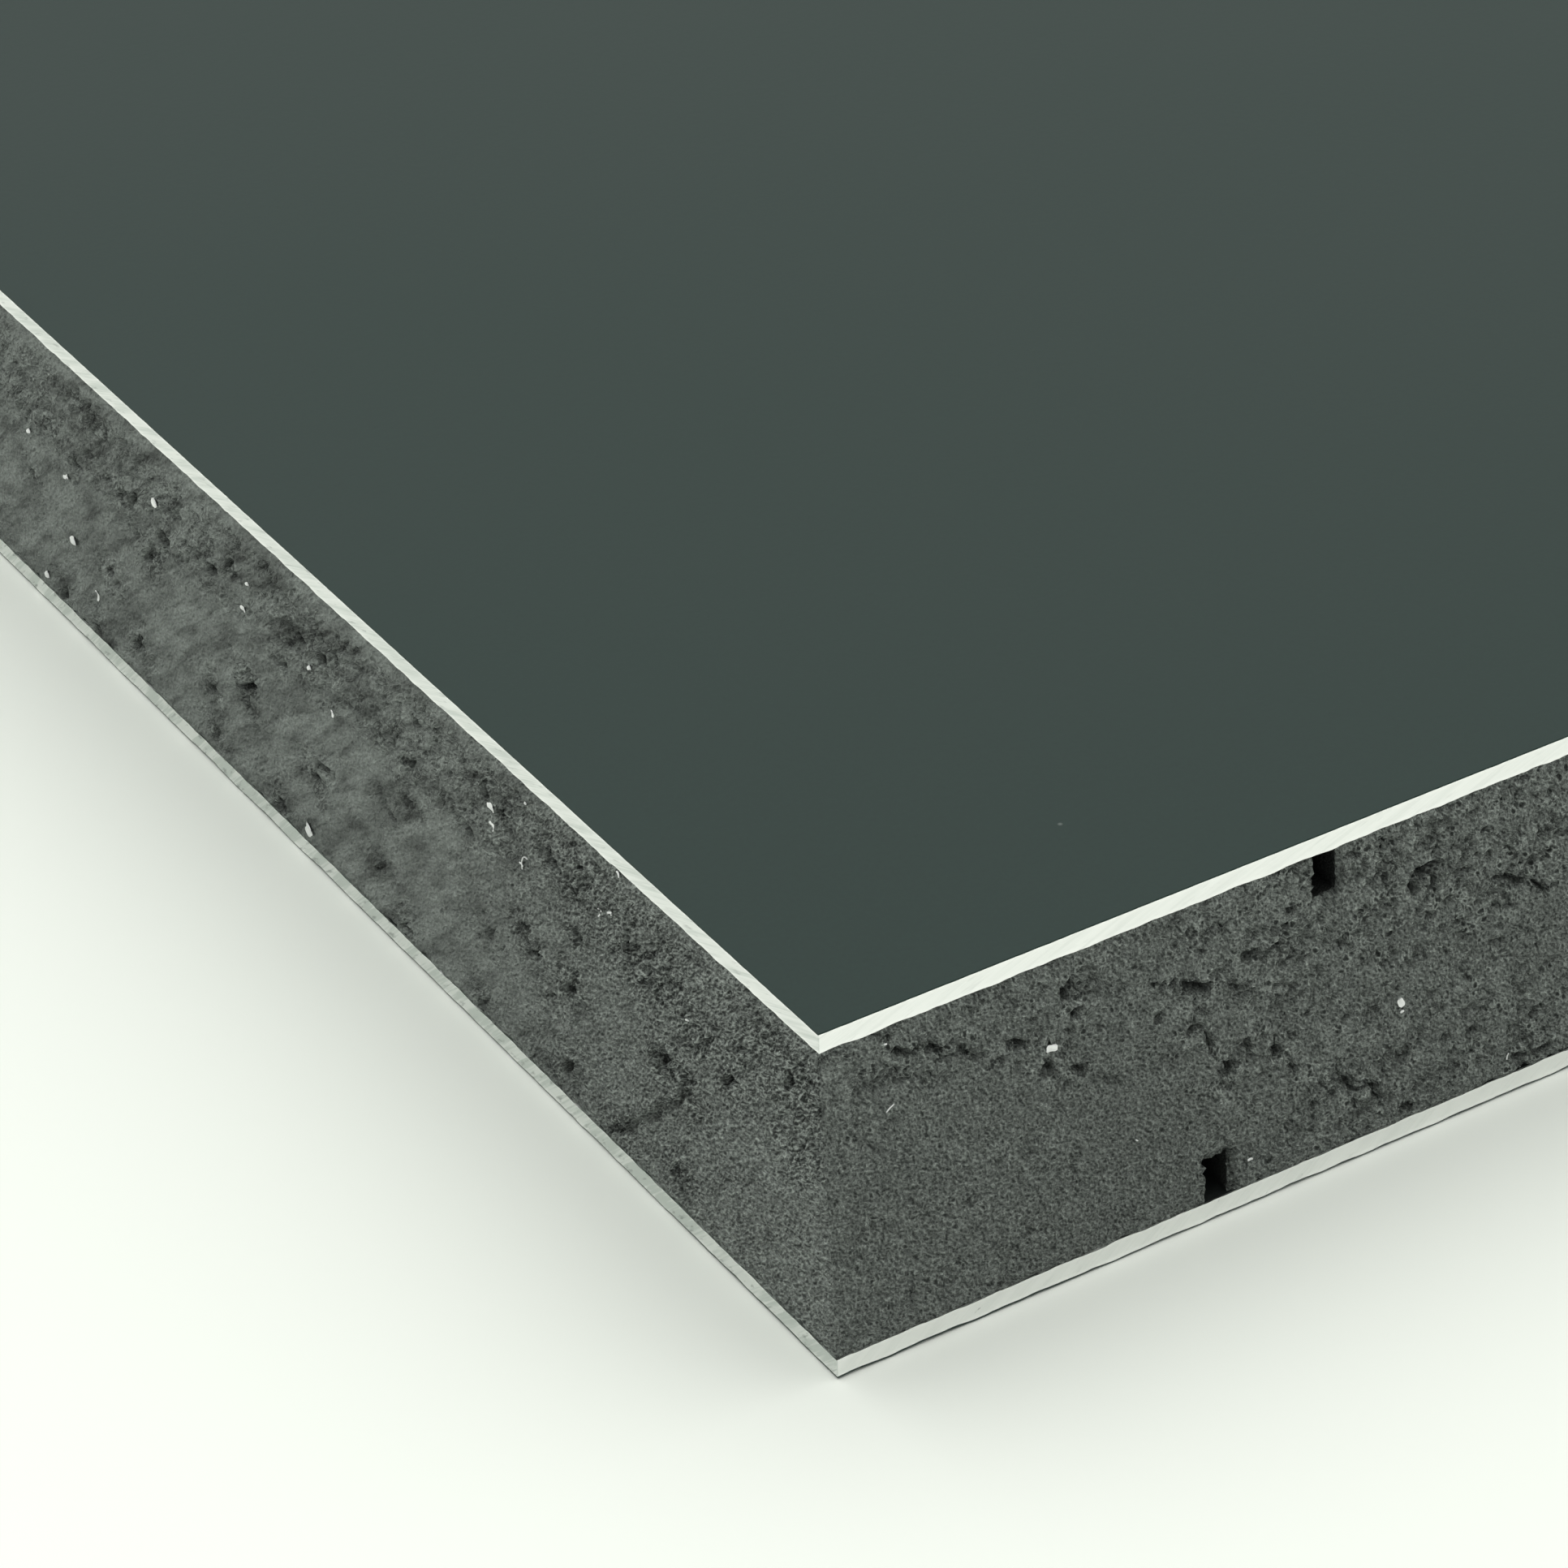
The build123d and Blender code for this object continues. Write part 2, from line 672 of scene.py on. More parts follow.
    def blend(self, share: Socket, first: Socket | Triple, second: Socket | Triple) -> Socket:
        """Mixes two colours, each of them a socket or red, green and blue."""
        node = self.add("Mix", {}, data_type="RGBA")
        first, second = (c if isinstance(c, Socket) else (*c, 1.0) for c in (first, second))
        fill(self.tree, node, {0: share, 6: first, 7: second})
        return node.outputs[2]

    def bump(self, height: Socket, millimetres: float) -> Socket:
        """A bump whose height input of 1 stands this many millimetres proud."""
        inputs = {"Height": height, "Strength": 1.0, "Distance": millimetres * METRE}
        return self.add("Bump", inputs).outputs["Normal"]


@dataclass(frozen=True)
class SatinCoat:
    """The sheets' factory coat: dark grey-green, satin, with a very fine orange peel and a little dust."""

    colour: Triple = (0.0150, 0.0334, 0.0278)
    colour_spread: float = 0.07
    dust: Triple = (0.12, 0.14, 0.13)
    roughness: float = 0.42
    roughness_spread: float = 0.04
    gloss: float = 0.22
    peel: float = 0.006  # millimetres
    scratch_turn: float = 1.1  # radians from +X
    scratch_stretch: float = 0.09

    def dusty(self, made: Recipe, place: Socket) -> Socket:
        """Finds where the coat has a speck of dust or a fine scratch.

        Formula: the larger of two fields of dots, one of them drawn out to scratches, times patches of noise.

        Args:
            made: The material under construction.
            place: The place on the sheet.

        Returns:
            The share of dust, from 0 to 1.
        """
        specks = made.dots(place, 70.0, size=0.006, soft=0.010)
        turned = {"Rotation": (0.0, 0.0, self.scratch_turn), "Scale": (1.0, self.scratch_stretch, 1.0)}
        drawn = made.add("Mapping", {"Vector": place} | turned).outputs[0]
        scratches = made.times(made.dots(drawn, 60.0, size=0.003, soft=0.006), 0.6)
        patches = made.between(made.noise(place, 75.0, detail=0.0), low=0.52, high=0.60)
        return made.times(made.step("MAXIMUM", specks, scratches), patches)

    def material(self) -> bpy.types.Material:
        """Builds the coat's material, with waves counted in each metre."""
        made = Recipe("satin_coat")
        place = made.place()
        clouds = made.noise(place, 14.0, detail=3.0)
        grain = made.noise(place, 2600.0, rough=0.6)
        mixed = made.plus(made.times(clouds, 0.3), made.times(grain, 0.7))
        darker = tuple(c * (1.0 - self.colour_spread) for c in self.colour)
        lighter = tuple(c * (1.0 + self.colour_spread) for c in self.colour)
        tone = made.blend(made.between(mixed, low=0.35, high=0.65), darker, lighter)
        smoothest, roughest = self.roughness - self.roughness_spread, self.roughness + self.roughness_spread
        uneven = made.plus(clouds, made.times(grain, 0.5))
        made.set(
            Base_Color=made.blend(self.dusty(made, place), tone, self.dust),
            Roughness=made.between(uneven, low=0.4, high=1.1, out_low=smoothest, out_high=roughest),
            Specular_IOR_Level=self.gloss,
            Normal=made.bump(made.noise(place, 1500.0), self.peel),
        )
        return made.material


@dataclass(frozen=True)
class GlueAndGrooveShade:
    """The glue on the faces that meet the foam, which shows only inside the grooves. Its near-black colour is
    also painted shade there.
    """

    colour: Triple = (0.008, 0.0105, 0.0098)
    thick: Triple = (0.016, 0.019, 0.018)
    gloss: float = 0.2
    bead: float = 0.1  # millimetres

    def material(self) -> bpy.types.Material:
        """Builds the glue's material, with smears and small beads."""
        made = Recipe("glue_film_and_groove_shade")
        smears = made.noise(made.place(), 700.0, detail=3.0, rough=0.6)
        made.set(
            # painted shade: the glue's near-black colour also stands for the shade deep in the grooves
            Base_Color=made.blend(made.between(smears, low=0.45, high=0.65), self.colour, self.thick),
            Roughness=made.between(smears, low=0.3, high=0.7, out_low=0.7, out_high=0.9),
            Specular_IOR_Level=self.gloss,
            Normal=made.bump(smears, self.bead),
        )
        return made.material


@dataclass(frozen=True)
class SawnAluminium:
    """The sheets' bare cut edges: bright, with the blade's slanting streaks and a few dark smears."""

    colour: Triple = (0.93, 0.935, 0.92)
    shade: Triple = (0.60, 0.64, 0.61)
    dark: Triple = (0.22, 0.24, 0.23)
    roughness: float = 0.34
    streak: float = 0.03  # millimetres

    def material(self) -> bpy.types.Material:
        """Builds the cut edge's material. It is darker where the sheet's dullness says so, partly duller
        metal and partly painted shade, and has a painted highlight at its rims.
        """
        made = Recipe("sawn_aluminium")
        place = made.place()
        # dull paints shade as well as duller metal, and rim paints a highlight along the rims
        dull_and_shade, rim = made.value(DULL_AND_SHADE), made.value(RIM_HIGHLIGHT)
        broad = made.noise(made.saw_place(across=0.9, along=9.0), 1.0)
        fine = made.noise(made.saw_place(across=0.15, along=4.0), 1.0)
        smears = made.noise(made.saw_place(across=0.6, along=2.4), 1.0, detail=3.0, rough=0.6)
        streaks = made.plus(made.times(broad, 0.65), made.times(fine, 0.35))
        # painted shade on the dull sides, and a painted highlight along the rims
        shaded = made.times(made.between(streaks, low=0.56, high=0.38), made.by(dull_and_shade, none=0.16, full=1.0))
        shaded = made.plus(shaded, made.by(dull_and_shade, none=0.08, full=0.50), made.times(rim, -0.5))
        smeared = made.times(made.between(smears, low=0.59, high=0.71), made.by(dull_and_shade, none=0.12, full=0.75))
        speckled = made.between(smears, low=0.61, high=0.66, out_high=0.6)
        specks = made.times(made.dots(place, 700.0, size=0.07, soft=0.08), speckled)
        tone = made.blend(shaded, self.colour, self.shade)
        duller, brighter = self.roughness + 0.08, self.roughness - 0.06
        made.set(
            Base_Color=made.blend(made.step("MAXIMUM", smeared, specks), tone, self.dark),
            Metallic=1.0,
            Roughness=made.between(streaks, low=0.3, high=0.7, out_low=duller, out_high=brighter),
            Normal=made.bump(made.plus(streaks, made.times(smears, -0.5)), self.streak),
        )
        return made.material


@dataclass(frozen=True)
class FoamSockets:
    """What the mesh says of a point of the foam: its place in the felt, and how rough, raked and rubbed."""

    place: Socket
    rough: Socket
    combed: Socket
    rubbed: Socket


@dataclass(frozen=True)
class TornFoam:
    """The sawn foam: a grey felt of curled cell walls round dark cells, with painted shade in its hollows,
    cells and deep tears, and painted light and shade on its crumbs' flanks.
    """

    light: Triple = (0.505, 0.550, 0.510)
    dark: Triple = (0.027, 0.0315, 0.029)
    # the pit's colour is painted shade, for deep tears, cracks, worn mouths and the grooves' walls
    pit_shade: Triple = (0.014, 0.0165, 0.015)
    middle: float = 0.485  # the felt's mean, from dark to light
    contrast: float = 1.7
    roughness: float = 0.88
    gloss: float = 0.25
    nap: float = 0.42  # millimetres
    grain_waves: float = 4.6  # in each millimetre, as all the waves below
    mottle_waves: float = 1.0
    crumb_waves: float = 2.6
    cell_waves: float = 1.9
    stroke_waves: float = 1.1
    stroke_shape: Triple = (1.0, 0.36, 0.5)
    # the step across the crumbs that sets their painted flank light and shade
    painted_light_step: float = 0.12  # millimetres

    def crumbs(self, made: Recipe, place: Socket) -> Socket:
        """The height of the crumbs that the foam tore into."""
        return made.noise(place, self.crumb_waves, rough=0.55, bend=0.8)

    def painted_flank_light(self, made: Recipe, foam: FoamSockets, crumbs: Socket) -> Socket:
        """The crumbs' flanks, painted lit on their upper side and painted shade on their lower side.

        Formula: the crumbs, less the same crumbs a step further across. The flanks are stronger where the
        foam is both rough and raked, and weaker where it is rubbed.

        Args:
            made: The material under construction.
            foam: The state of the foam.
            crumbs: The crumbs' height.

        Returns:
            The painted light and shade, round 0.
        """
        beside = self.crumbs(made, made.moved(foam.place, (self.painted_light_step, 0.0, 0.0)))
        torn_up = made.by(made.times(foam.rough, foam.combed), none=0.8, full=2.1)
        strength = made.times(made.by(foam.rubbed, none=1.0, full=0.35), torn_up)
        return made.times(made.step("SUBTRACT", crumbs, beside), strength)

    def open_cells_and_hollow_shade(self, made: Recipe, foam: FoamSockets) -> Socket:
        """Cells that the saw opened.

        Formula: a pale wall where the distance to a cell's middle passes one value, less a dark hollow
        inside it whose darkness is painted shade, in patches of noise. They are clearer where the foam is
        rough, and fainter where rubbed.

        Args:
            made: The material under construction.
            foam: The state of the foam.

        Returns:
            The cells, round 0.
        """
        bent = made.bent(foam.place, 1.5, amount=0.5)
        away = made.add("TexVoronoi", {"Vector": bent, "Scale": self.cell_waves}).outputs["Distance"]
        walls = made.band(away, middle=0.46, width=0.13)
        # painted shade: the dark hollow inside each opened cell
        hollows = made.between(away, low=0.38, high=0.14)
        patches = made.between(made.noise(foam.place, 0.9, detail=1.0), low=0.47, high=0.60)
        roughened = made.between(foam.rough, low=0.1, high=0.9, out_low=0.5, out_high=1.3)
        strength = made.times(patches, roughened, made.by(foam.rubbed, none=1.0, full=0.5))
        return made.times(made.plus(made.times(walls, 0.22), made.times(hollows, -0.42)), strength)

    def marks(self, made: Recipe, foam: FoamSockets) -> Socket:
        """How much lighter or darker the saw's long marks make the foam.

        Formula: fine and broad streaks along the blade's arcs, where the foam is raked, plus short strokes
        along the crumbs, where it is rubbed.

        Args:
            made: The material under construction.
            foam: The state of the foam.

        Returns:
            The share that is added to the colour's brightness.
        """
        fine = made.noise(made.saw_place(across=1.6, along=5.0), 1.0, detail=1.0)
        broad = made.noise(made.saw_place(across=3.0, along=22.0), 1.0, detail=1.0)
        streaks = made.plus(made.times(fine, 0.5), made.times(broad, 0.5))
        streaks = made.between(streaks, low=0.42, high=0.60, out_low=0.12, out_high=-0.36)
        drawn = made.stretched(foam.place, self.stroke_shape)
        strokes = made.noise(drawn, self.stroke_waves, detail=3.0, rough=0.6, bend=0.3)
        strokes = made.between(strokes, low=0.48, high=0.64, out_low=0.07, out_high=-0.37)
        clear = made.times(foam.combed, made.by(foam.rubbed, none=0.4, full=1.0))
        return made.plus(made.times(streaks, clear), made.times(strokes, foam.rubbed))

    def brightness_and_painted_sheen(self, made: Recipe, foam: FoamSockets) -> Socket:
        """How bright the foam is: more on the raked sides, where a painted sheen lightens it, less where
        rubbed, and by its roughness.
        """
        roughened = made.times(foam.rough, made.by(foam.combed, none=0.38, full=-0.08))
        raked, rubbed = made.by(foam.combed, none=1.0, full=1.30), made.by(foam.rubbed, none=0.0, full=-0.12)
        return made.plus(raked, rubbed, roughened)

    def cracks(self, made: Recipe, foam: FoamSockets) -> Socket:
        """Thin cracks in the rough foam, where a noise passes its middle, in patches."""
        # painted shade: the cracks take the pit's dark colour in the material
        lines = made.band(made.noise(foam.place, 1.0, rough=0.6, bend=1.0), middle=0.5, width=0.030)
        patches = made.between(made.noise(foam.place, 0.7, detail=1.0), low=0.46, high=0.56)
        return made.times(lines, patches, foam.rough)

    def material(self) -> bpy.types.Material:
        """Builds the foam's material.

        Formula: the felt is the sum of its middle, fine grain, a broader mottle, the crumbs' painted flank
        light, pale
        flecks and open cells. It is the foam's tone and also painted shade, since it rises with the bump's
        height:
        low places are painted darker and tops lighter. Its power is the share of the light colour, which the
        saw's marks shade. Torn places and cracks take the pit's colour, which is painted shade. The felt,
        with more crumbs and grain, drives the bump.
        """
        made = Recipe("torn_foam")
        foam = FoamSockets(made.felt_place(), made.value(ROUGH), made.value(COMBED), made.value(RUBBED))
        crumbs = self.crumbs(made, foam.place)
        grain = made.swing(foam.place, self.grain_waves, rough=0.6)
        raked = made.between(foam.combed, low=0.2, high=1.0, out_low=-0.5, out_high=0.9)
        grain_share = made.times(made.plus(made.times(foam.rough, raked), 1.35),
                                 made.by(foam.rubbed, none=1.0, full=0.3))
        mottle = made.swing(foam.place, self.mottle_waves, rough=0.55, bend=0.6)
        mottle_share = made.plus(made.times(foam.rough, 0.15), made.by(foam.rubbed, none=0.36, full=0.20))
        flecks = made.times(made.dots(foam.place, 1.5, size=0.10, soft=0.12),
                            made.by(foam.rubbed, none=0.22, full=0.0))
        # painted shade: the felt sets the colour and the bump together, so the relief's hollows are painted
        # dark and its tops light
        felt = made.plus(made.times(grain, grain_share), made.times(mottle, mottle_share), flecks,
                         self.open_cells_and_hollow_shade(made, foam), self.painted_flank_light(made, foam, crumbs), self.middle)
        shade = made.step("POWER", made.between(felt, 0.0, 1.0), self.contrast)
        bright = made.plus(self.marks(made, foam), self.brightness_and_painted_sheen(made, foam))
        tone = made.scaled(made.blend(shade, self.dark, self.light), bright)
        cracks = self.cracks(made, foam)
        # painted shade: torn places, cracks and groove walls blend to the pit's dark colour
        torn = made.between(made.value(TORN_PIT_SHADE), low=0.14, high=1.1)
        depth = made.step("MAXIMUM", made.times(cracks, 0.6), torn)
        crumb_height = made.times(crumbs, made.by(foam.rubbed, none=1.3, full=0.6))
        grain_height = made.times(grain, made.by(foam.rubbed, none=0.8, full=0.1))
        made.set(
            Base_Color=made.blend(depth, tone, self.pit_shade),
            Roughness=self.roughness,
            Specular_IOR_Level=self.gloss,
            Normal=made.bump(made.plus(felt, crumb_height, grain_height, made.times(cracks, -0.7)), self.nap),
        )
        return made.material


@dataclass(frozen=True)
class BrightSwarf:
    """Fresh aluminium chips: bright, crumpled and slightly dull."""

    colour: Triple = (0.93, 0.935, 0.93)
    shade: Triple = (0.75, 0.76, 0.75)
    metallic: float = 0.55
    crumple: float = 0.03  # millimetres

    def material(self) -> bpy.types.Material:
        """Builds the chips' material."""
        made = Recipe("bright_swarf")
        crumple = made.noise(made.place(), 2500.0)
        made.set(
            Base_Color=made.blend(made.between(crumple, low=0.3, high=0.7), self.shade, self.colour),
            Metallic=self.metallic,
            Roughness=made.between(crumple, low=0.3, high=0.7, out_low=0.3, out_high=0.5),
            Normal=made.bump(crumple, self.crumple),
        )
        return made.material


@dataclass(frozen=True)
class PaleTable:
    """The smooth pale table that the panel lies on."""

    colour: Triple = (0.88, 0.905, 0.865)
    seen: Triple = (1.02, 1.05, 0.985)

    def material(self) -> bpy.types.Material:
        """Builds the table's material, brighter to the camera and in reflections than as a light."""
        made = Recipe("pale_table")
        path = made.add("LightPath", {})
        direct = made.step("MAXIMUM", path.outputs["Is Camera Ray"], path.outputs["Is Glossy Ray"])
        direct = made.step("MAXIMUM", direct, path.outputs["Is Transmission Ray"])
        diffuse = made.add("BsdfDiffuse", {"Color": made.blend(direct, self.colour, self.seen)})
        output = made.tree.nodes["Material Output"]
        made.tree.links.new(diffuse.outputs[0], output.inputs["Surface"])
        return made.material


# The foam core


@dataclass(frozen=True)
class Groove:
    """A vent groove's section: its two walls along X and the level of its bottom."""

    left: float
    right: float
    bottom: float
    opens_up: bool


def read_grooves(node: str) -> list[Groove]:
    """Reads the vent grooves from a node's end, where their walls meet the core's two faces.

    Args:
        node: The core's node in the frame.

    Returns:
        The grooves, those that open up first, each face's from left to right.
    """
    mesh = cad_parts[node].data
    places = np.empty(len(mesh.vertices) * 3, np.float32)
    mesh.vertices.foreach_get("co", places)
    places = places.reshape(-1, 3) / METRE
    end = places[np.abs(places[:, 1] - places[:, 1].min()) < TOUCH]
    middle = (places[:, 2].max() + places[:, 2].min()) / 2
    grooves = []
    for opens_up, level in ((True, places[:, 2].max()), (False, places[:, 2].min())):
        at_face = end[np.abs(end[:, 2] - level) < TOUCH, 0]
        for left, right in np.unique(np.round(at_face, 2))[1:-1].reshape(-1, 2):
            inside = end[(end[:, 0] > left - TOUCH) & (end[:, 0] < right + TOUCH), 2]
            inside = inside[(inside > middle) == opens_up]
            bottom = inside.min() if opens_up else inside.max()
            grooves.append(Groove(float(left), float(right), float(bottom), opens_up))
    return grooves


@dataclass(frozen=True)
class Wound:
    """A pit or tear in a sawn side, in millimetres.

    Its place is given from the corner that faces the camera and above the panel's underside. Its tilt is
    in degrees above level, seen from outside.
    """

    away: float
    level: float
    length: float
    width: float
    depth: float = 0.7
    tilt: float = 35.0
    ragged: float = 0.75
    reach: float = 2.6


# Each row holds a wound's values in the order of its fields
WOUND_ROWS = {
    "near": (
        (6.1, 24.0, 1.0, 0.5, 0.7, -20), (7.3, 23.8, 0.9, 0.5, 0.8, 10), (8.5, 23.0, 1.5, 0.6, 0.8, -28),
        (10.9, 22.1, 1.5, 0.5, 0.55, -35), (12.0, 21.4, 0.9, 0.5, 0.5, 0), (13.7, 20.6, 1.2, 0.4, 0.4, -35),
        (15.4, 20.5, 1.2, 0.7, 0.8, -20), (16.3, 22.4, 2.2, 0.45, 0.4, -24), (19.0, 23.6, 1.3, 0.7, 0.9, 80),
        (19.5, 21.4, 1.1, 0.8, 1.0, -25), (17.2, 17.9, 1.5, 0.7, 0.8, -5), (19.7, 16.9, 1.8, 0.6, 0.7, -50),
        (22.0, 15.2, 2.2, 0.4, 0.3, -25), (26.9, 20.9, 3.0, 0.28, 0.8, -28, 0.4),
        (29.2, 19.7, 2.2, 0.8, 0.9, -15), (32.2, 18.3, 2.0, 0.5, 0.5, -25), (26.1, 18.5, 1.2, 0.5, 0.5, 55),
        (33.5, 20.7, 1.4, 0.6, 0.6, -20), (34.7, 20.1, 1.2, 0.6, 0.6, 30), (36.2, 21.9, 0.8, 0.7, 1.0, 0),
        (36.7, 22.9, 0.7, 0.7, 0.8, 0), (28.6, 16.4, 1.0, 0.5, 0.8, -40), (30.0, 14.6, 2.2, 0.45, 0.6, -76),
        (31.6, 12.0, 1.1, 1.0, 1.0, 0), (33.4, 13.1, 1.2, 0.4, 0.6, -80), (35.3, 11.7, 1.2, 0.7, 0.9, -60),
        (34.2, 10.4, 1.3, 0.4, 0.5, 10), (36.8, 9.9, 1.6, 0.5, 0.5, -30), (39.6, 7.4, 1.8, 0.4, 0.4, -15),
        (41.6, 6.3, 2.8, 0.34, 0.9, -35, 0.4), (43.6, 5.1, 2.0, 0.5, 1.1, -32),
        (44.1, 5.4, 1.0, 0.4, 0.8, 45), (45.9, 7.2, 1.5, 0.8, 0.7, 15), (41.0, 12.2, 0.9, 0.8, 0.6, 0),
        (46.8, 20.6, 2.2, 0.7, 0.9, 88, 0.5), (48.0, 21.7, 2.6, 0.9, 0.9, 12, 0.5),
        (48.9, 20.5, 2.2, 0.6, 0.8, -80, 0.5), (50.9, 20.2, 2.2, 0.6, 0.5, -8),
        (54.9, 18.0, 3.4, 0.45, 0.8, -26, 0.4), (57.4, 16.7, 2.4, 0.45, 0.8, -40, 0.4),
        (44.6, 22.4, 0.9, 0.7, 0.6, 0), (44.8, 17.6, 0.9, 0.6, 0.5, 20), (41.1, 18.8, 1.2, 0.4, 0.5, 85),
        (57.4, 6.1, 0.9, 0.8, 0.9, 0), (52.0, 6.4, 1.0, 0.6, 0.5, 0), (56.2, 2.5, 1.6, 0.7, 1.0, -15),
        (58.0, 2.5, 1.8, 0.7, 1.0, 14), (46.2, 2.2, 1.4, 0.5, 0.6, 0), (38.6, 6.1, 1.0, 0.5, 0.5, -60),
        (53.6, 13.2, 1.0, 0.5, 0.4, -30),
    ),
    "left": (
        (21.1, 13.4, 2.8, 0.9, 1.0, 29), (17.6, 12.7, 1.8, 0.8, 0.9, 32), (19.9, 10.6, 2.0, 0.5, 0.5, 48),
        (19.3, 11.2, 6.0, 0.9, 0.42, 46, 0.35), (23.2, 7.7, 6.0, 0.9, 0.40, 40, 0.35),
        (27.0, 4.2, 5.0, 0.8, 0.36, 42, 0.35), (12.1, 17.1, 2.4, 0.6, 0.9, 32),
        (1.6, 23.2, 2.6, 0.4, 0.6, 14), (25.2, 20.9, 2.0, 0.6, 0.6, 82), (45.8, 9.8, 1.4, 1.2, 0.4, 10),
        (32.4, 17.1, 1.8, 0.6, 0.6, 30), (36.8, 9.7, 1.3, 0.6, 0.6, 30), (4.6, 21.5, 2.2, 0.5, 0.8, 45),
        (3.7, 16.0, 1.0, 0.6, 0.7, -30), (5.1, 16.8, 0.7, 0.6, 0.6, 0), (23.6, 18.5, 0.8, 0.7, 0.9, 0),
        (24.0, 21.1, 1.2, 0.5, 0.7, 55), (24.1, 22.8, 1.2, 0.5, 0.6, 15), (34.1, 12.0, 2.4, 0.7, 0.9, 42),
        (33.2, 17.2, 2.8, 0.5, 0.5, 20), (40.5, 13.4, 1.4, 0.6, 0.8, 35), (38.8, 12.1, 2.0, 0.5, 0.6, 8),
        (57.3, 14.8, 2.0, 0.7, 0.8, 30), (56.5, 18.6, 2.0, 0.9, 0.8, 18), (54.7, 23.0, 1.4, 0.8, 0.8, 0),
        (60.4, 12.3, 1.4, 0.6, 0.6, 10), (59.4, 2.5, 1.8, 0.8, 0.8, 25), (48.0, 2.4, 1.6, 0.6, 0.7, 0),
        (38.2, 2.4, 2.0, 0.6, 0.7, 5), (35.3, 4.6, 2.8, 0.7, 0.7, 48), (28.4, 3.2, 1.8, 0.7, 0.8, 35),
        (20.3, 4.8, 1.8, 0.6, 0.7, 38), (35.4, 21.7, 1.7, 1.2, 0.6, 20), (47.8, 17.6, 1.6, 1.0, 0.5, 20),
        (44.7, 22.5, 1.2, 0.8, 0.8, 0), (42.3, 21.7, 1.8, 0.6, 0.6, 25), (102.9, 18.1, 1.2, 1.1, 0.9, 0),
        (100.7, 19.2, 1.6, 0.8, 0.8, 30), (99.2, 14.9, 2.6, 1.0, 1.0, 40), (97.8, 15.8, 1.6, 1.0, 0.8, 5),
        (95.8, 18.0, 1.6, 1.0, 0.9, 25), (83.4, 11.1, 3.6, 0.9, 1.1, 24), (87.4, 19.4, 2.6, 0.8, 0.8, 10),
        (84.0, 21.5, 2.0, 0.7, 0.8, 50), (69.2, 20.9, 1.7, 0.9, 1.0, 10), (73.4, 20.5, 1.4, 0.8, 0.8, 20),
        (72.8, 8.7, 1.3, 1.0, 0.9, 0), (71.4, 10.2, 1.8, 0.6, 0.6, 30), (79.7, 2.7, 2.4, 0.9, 0.8, 10),
        (103.2, 4.8, 3.2, 0.9, 0.8, 32), (107.0, 9.7, 1.8, 0.7, 0.8, 35), (111.2, 17.2, 2.0, 0.7, 0.7, 18),
        (120.6, 11.9, 1.6, 0.8, 0.6, 40), (117.0, 2.7, 2.4, 0.9, 0.7, 30), (111.0, 2.4, 1.6, 0.7, 0.7, 0),
        (89.9, 7.3, 1.8, 0.7, 0.6, 35), (89.9, 3.6, 2.4, 0.7, 0.6, 35), (66.7, 22.3, 1.2, 0.8, 0.7, 0),
        (63.0, 6.0, 2.4, 0.6, 0.5, 38), (77.0, 16.5, 2.6, 0.6, 0.5, 30),
    ),
}
WOUNDS = {side: [Wound(*row) for row in rows] for side, rows in WOUND_ROWS.items()}


